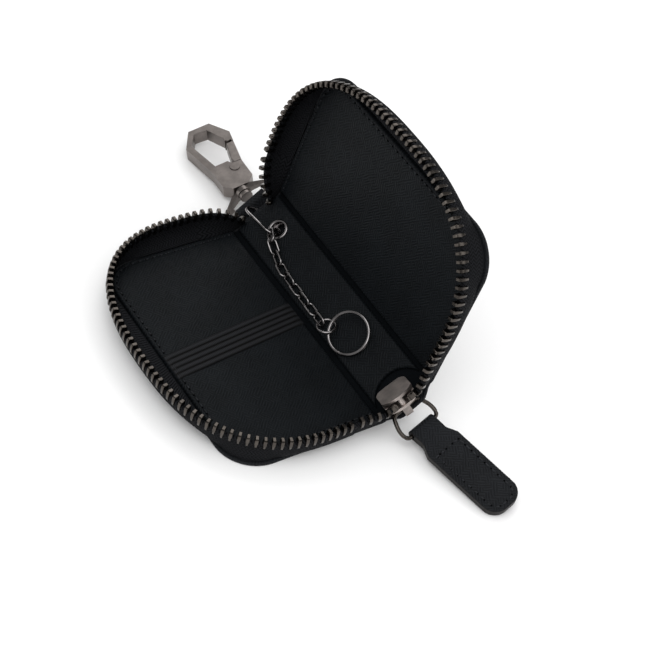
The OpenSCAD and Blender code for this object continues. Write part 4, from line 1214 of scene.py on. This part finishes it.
class MakeSoftFittings(bpy.types.Operator):
    """Makes the zip pull's leather tab and the strap that holds the clasp"""

    bl_idname = "key_case.soft_fittings"
    bl_label = "Leather tab and strap"

    def execute(self, context):
        tab = self.soft_copy("pull_tab", "pull_leather", 0.22, 7, ON_TAB)
        paint_cut_edges(tab, ON_TAB[:3, 2], -1, 0.55)
        seated(tab, "pull_tab", "outer_leather", "pull_tab", "tab_filler")
        for face, name in ((1, "upper"), (-1, "lower")):
            up = face * ON_TAB[:3, 2]
            points = self.on_surface(tab, put(ON_TAB, self.rectangle(face)), up)
            stitches("pull_" + name + "_stitches", points, up, "pull_tab", 0.55)
        strap = self.soft_copy("hanger_strap", "clasp_strap", 0.2, 5, ON_SPINE)
        paint_cut_edges(strap, ON_SPINE[:3, 0], 0.75, 2)
        seated(strap, "spine", "outer_leather", "hanger_strap")
        return {"FINISHED"}

    @staticmethod
    def soft_copy(node, name, voxel, rounds, matrix):
        """A CAD node's copy with softened edges, and a pattern map in a frame's plane."""
        piece = from_cad(node, name, [finish_of("outer_leather"), finish_of("edge_paint")], False)
        modifier(piece, "REMESH", mode="VOXEL", voxel_size=voxel * MM)
        modifier(piece, "SMOOTH", factor=0.5, iterations=rounds)
        baked(piece, 60)
        flat_uv(piece, np.linalg.inv(matrix))
        return piece

    @staticmethod
    def rectangle(face):
        """The tab's sewn line: a rectangle with rounded lower corners."""
        w, top, low, r = TAB_SEWN
        arc = np.linspace(0, -math.pi / 2, 12)
        right = np.stack([w - r + r * np.cos(arc), low + r + r * np.sin(arc)], 1)
        ring = np.concatenate([[[-w, top], [w, top]], right, right[::-1] * [-1, 1], [[-w, top]]])
        return np.column_stack([ring, np.full(len(ring), face * TAB_T / 2)])

    @staticmethod
    def on_surface(piece, path, up):
        """Brings a path down to a piece's surface, against the given direction."""
        path = resampled(path)
        down = Vector(-up)
        hits = [piece.ray_cast(Vector(metres(p + up * 2)), down) for p in path]
        return np.array([np.array(h[1]) / MM if h[0] else p for h, p in zip(hits, path)])


def weigh_outer_edges(piece, degrees):
    """Marks the sharp outer edges of a piece for a bevel, and leaves its inner corners out."""
    build = bmesh.new()
    build.from_mesh(piece.data)
    weight = build.edges.layers.float.new("bevel_weight_edge")
    for edge in build.edges:
        if len(edge.link_faces) == 2 and edge.is_convex:
            if edge.calc_face_angle() > math.radians(degrees):
                edge[weight] = 1.0
    build.to_mesh(piece.data)
    build.free()


# CAD node, piece, body, finish and width of its rounded edges
METAL_PIECES = (
    # The slider's plates and bridge take that paler copy in place of the zip metal's colour, as
    # painted light
    ("slider_body", "slider_plates", "spine", "slider_metal", 0.16),
    ("slider_crown", "slider_bridge", "spine", "slider_metal", 0.16),
    ("clasp_ring", "clasp_ring_metal", "clasp_ring", "clasp_metal", 0.25),
    ("swivel_post", "swivel_post_metal", "hook", "clasp_metal", 0.15),
    ("hook_body", "snap_hook", "hook", "clasp_metal", 0.22),
    ("hook_gate", "snap_hook_gate", "gate", "clasp_metal", 0.2),
    ("gate_rivet", "snap_hook_rivet", "hook", "clasp_metal", 0.12),
)


class MakeMetal(bpy.types.Operator):
    """Rounds the edges of the metal fittings and smooths the bent wire"""

    bl_idname = "key_case.metal"
    bl_label = "Metal fittings"

    def execute(self, context):
        for node, name, body, finish, width in METAL_PIECES:
            piece = from_cad(node, name, [finish_of(finish)])
            weigh_outer_edges(piece, 35)
            modifier(piece, "BEVEL", width=width * MM, segments=3, limit_method="WEIGHT",
                     use_clamp_overlap=True)
            baked(piece, 38)
            modifier(piece, "WEIGHTED_NORMAL", keep_sharp=True, weight=100)
            baked(piece, None)
            seated(piece, body, "zip_metal" if finish == "slider_metal" else finish, node)
        for node, name, finish in (
            ("pull_shackle", "pull_loop", "zip_metal"),
            ("anchor_ring", "anchor_wire", "wire_steel"),
        ):
            piece = from_cad(node, name, [finish_of(finish)], False)
            modifier(piece, "SUBSURF", levels=1, render_levels=1)
            baked(piece, 80)
            seated(piece, node, finish, node)
        self.split_ring()
        self.eyelet_flange()
        links = [f"chain_link_{k + 1}" for k in range(LINK_COUNT)]
        for node in ["eyelet_washer", "gate_spring", "jump_ring"] + links:
            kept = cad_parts[node]
            finish = "zip_metal" if node.startswith("eyelet") else "wire_steel"
            kept.data.materials.clear()
            kept.data.materials.append(finish_of(finish))
        return {"FINISHED"}

    def eyelet_flange(self):
        """The eyelet: a barrel with a rolled flange round its upper end."""
        low, high = EYE_HEIGHTS
        outer, inner, wall = EYE_FLANGE_R, EYE_R, EYE_R + EYE_WALL
        a = np.linspace(0, math.pi, 9)
        across = (outer + inner) / 2 + (outer - inner) / 2 * np.cos(a)
        roll = np.stack([across, high - EYE_ROLL + EYE_ROLL * np.sin(a)], 1)
        under = high - 0.5
        profile = np.concatenate([roll, [[inner, low], [wall, low], [wall, under], [outer, under]]])
        phi = np.linspace(0, 2 * math.pi, 49)[:-1, None]
        r, z = profile.T
        points = np.stack([
            EYE_AT[0] + r * np.cos(phi), EYE_AT[1] + r * np.sin(phi),
            np.broadcast_to(z, (len(phi), len(z)))], 2)
        faces = grid_faces(len(phi), len(z), wrap=True, closed=True)
        # The eyelet takes the paler wire finish in place of the zip metal, as painted light on its
        # flange
        piece = closed_mesh("eyelet_ring", put(ON_SPINE, points.reshape(-1, 3)), faces, None,
                            [finish_of("wire_steel")], 40)
        seated(piece, "spine", "zip_metal", "eyelet")

    def split_ring(self):
        """The key ring: two coils of flattened wire, which cross once and end beside it."""
        low, high = (np.array(corner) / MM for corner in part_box("key_ring"))
        matrix = moved(*((low + high) / 2)) @ turned("Y", -FOLD_DEG)
        matrix = matrix @ turned("Y", -6.35) @ turned("X", 9.3)
        phi = np.linspace(COIL_ENDS, 4 * math.pi - COIL_ENDS, 260)
        t = np.clip((phi - 2 * math.pi + 0.28) / 0.56, 0, 1)
        z = (t * t * (3 - 2 * t) - 0.5) * COIL_T
        turn = phi + math.radians(COIL_START_DEG)
        path = put(matrix, np.stack([COIL_R * np.cos(turn), COIL_R * np.sin(turn), z], 1))
        a = np.linspace(0, 2 * math.pi, 13)[:-1]
        section = spow(np.stack([np.cos(a), np.sin(a)], 1), 0.7) * [COIL_W / 2, COIL_T * 0.48]
        ups = np.repeat(matrix[:3, 2][None], len(path), 0)
        piece = sweep("split_key_ring", path, section, ups, [finish_of("wire_steel")])
        seated(piece, "key_ring", "wire_steel", "key_ring")


class MakeStage(bpy.types.Operator):
    """Sets the camera, the pale floor and plain soft studio light"""

    bl_idname = "key_case.stage"
    bl_label = "Stage"

    def execute(self, context):
        scene = context.scene
        settings = scene.key_case_stage
        half = FLOOR_HALF
        corners = [(-half, -half, 0), (half, -half, 0), (half, half, 0), (-half, half, 0)]
        paper = floor_paper("floor_paper", settings.floor)
        closed_mesh("floor", corners, [(0, 1, 2, 3)], None, [paper])
        azimuth, elevation, roll = (
            math.radians(a) for a in (CAMERA_AZIMUTH, CAMERA_ELEVATION, CAMERA_ROLL))
        level = math.cos(elevation)
        back = np.array([
            math.sin(azimuth) * level, -math.cos(azimuth) * level, math.sin(elevation)])
        right = np.array([math.cos(azimuth), math.sin(azimuth), 0])
        up = np.cross(back, right)
        across = right * math.cos(roll) + up * math.sin(roll)
        upright = up * math.cos(roll) - right * math.sin(roll)
        aim = np.array([CAMERA_AIM[0] + HALF_W / 2, CAMERA_AIM[1], 0])
        place = (aim + back * CAMERA_DISTANCE) * MM
        camera_data = bpy.data.cameras.new("camera")
        camera_data.lens, camera_data.sensor_width = settings.lens, 36
        camera_data.clip_start = 0.01
        camera = bpy.data.objects.new("camera", camera_data)
        scene.collection.objects.link(camera)
        axes = np.stack([across, upright, back, place], 1)
        camera.matrix_world = Matrix(axes.tolist() + [[0, 0, 0, 1]])
        scene.camera = camera
        for name, where, size, power in LAMPS:
            lamp_data = bpy.data.lights.new(name, "AREA")
            lamp_data.size, lamp_data.energy = size, power
            lamp = bpy.data.objects.new(name, lamp_data)
            scene.collection.objects.link(lamp)
            lamp.location = where
            aim = Vector(LAMP_AIM) - Vector(where)
            lamp.rotation_euler = aim.to_track_quat("-Z", "Y").to_euler()
        self.world(scene)
        scene.view_settings.view_transform = "Standard"
        return {"FINISHED"}

    @staticmethod
    def world(scene):
        """An even pale surround, which polished metal sees as a dim room."""
        world = bpy.data.worlds.new("surround")
        world.use_nodes = True
        tree = world.node_tree
        light = tree.nodes["Background"]
        rays = tree.nodes.new("ShaderNodeLightPath")
        level = SURROUND_LEVEL
        for key, change in SURROUND_CHANGES.items():
            math_node = tree.nodes.new("ShaderNodeMath")
            math_node.operation = "MULTIPLY_ADD"
            tree.links.new(rays.outputs[key], math_node.inputs[0])
            math_node.inputs[1].default_value = change
            if isinstance(level, float):
                math_node.inputs[2].default_value = level
            else:
                tree.links.new(level, math_node.inputs[2])
            level = math_node.outputs[0]
        tree.links.new(level, light.inputs["Strength"])
        light.inputs["Color"].default_value = (1, 1, 1, 1)
        scene.world = world


OPERATORS = (MakeOuterLeather, MakeLinings, MakeZip, MakeSoftFittings, MakeMetal, MakeStage)


class KeyCasePanel(bpy.types.Panel):
    """Lists the case's settings and the makers of its pieces"""

    bl_label = "Key case"
    bl_idname = "VIEW3D_PT_key_case"
    bl_space_type = "VIEW_3D"
    bl_region_type = "UI"
    bl_category = "Key case"

    def draw(self, context):
        for name, group in SETTINGS:
            settings = getattr(context.scene, name)
            box = self.layout.box()
            for key in group.__annotations__:
                box.prop(settings, key)
        for operator in OPERATORS:
            self.layout.operator(operator.bl_idname)


def register():
    for name, group in SETTINGS:
        bpy.utils.register_class(group)
        setattr(bpy.types.Scene, name, bpy.props.PointerProperty(type=group))
    for operator in (*OPERATORS, KeyCasePanel):
        bpy.utils.register_class(operator)


def unregister():
    for operator in (*OPERATORS, KeyCasePanel):
        bpy.utils.unregister_class(operator)
    for name, group in SETTINGS:
        delattr(bpy.types.Scene, name)
        bpy.utils.unregister_class(group)


def main():
    register()
    for operator in OPERATORS:
        group, verb = operator.bl_idname.split(".")
        getattr(getattr(bpy.ops, group), verb)()


if __name__ == "__main__":
    main()
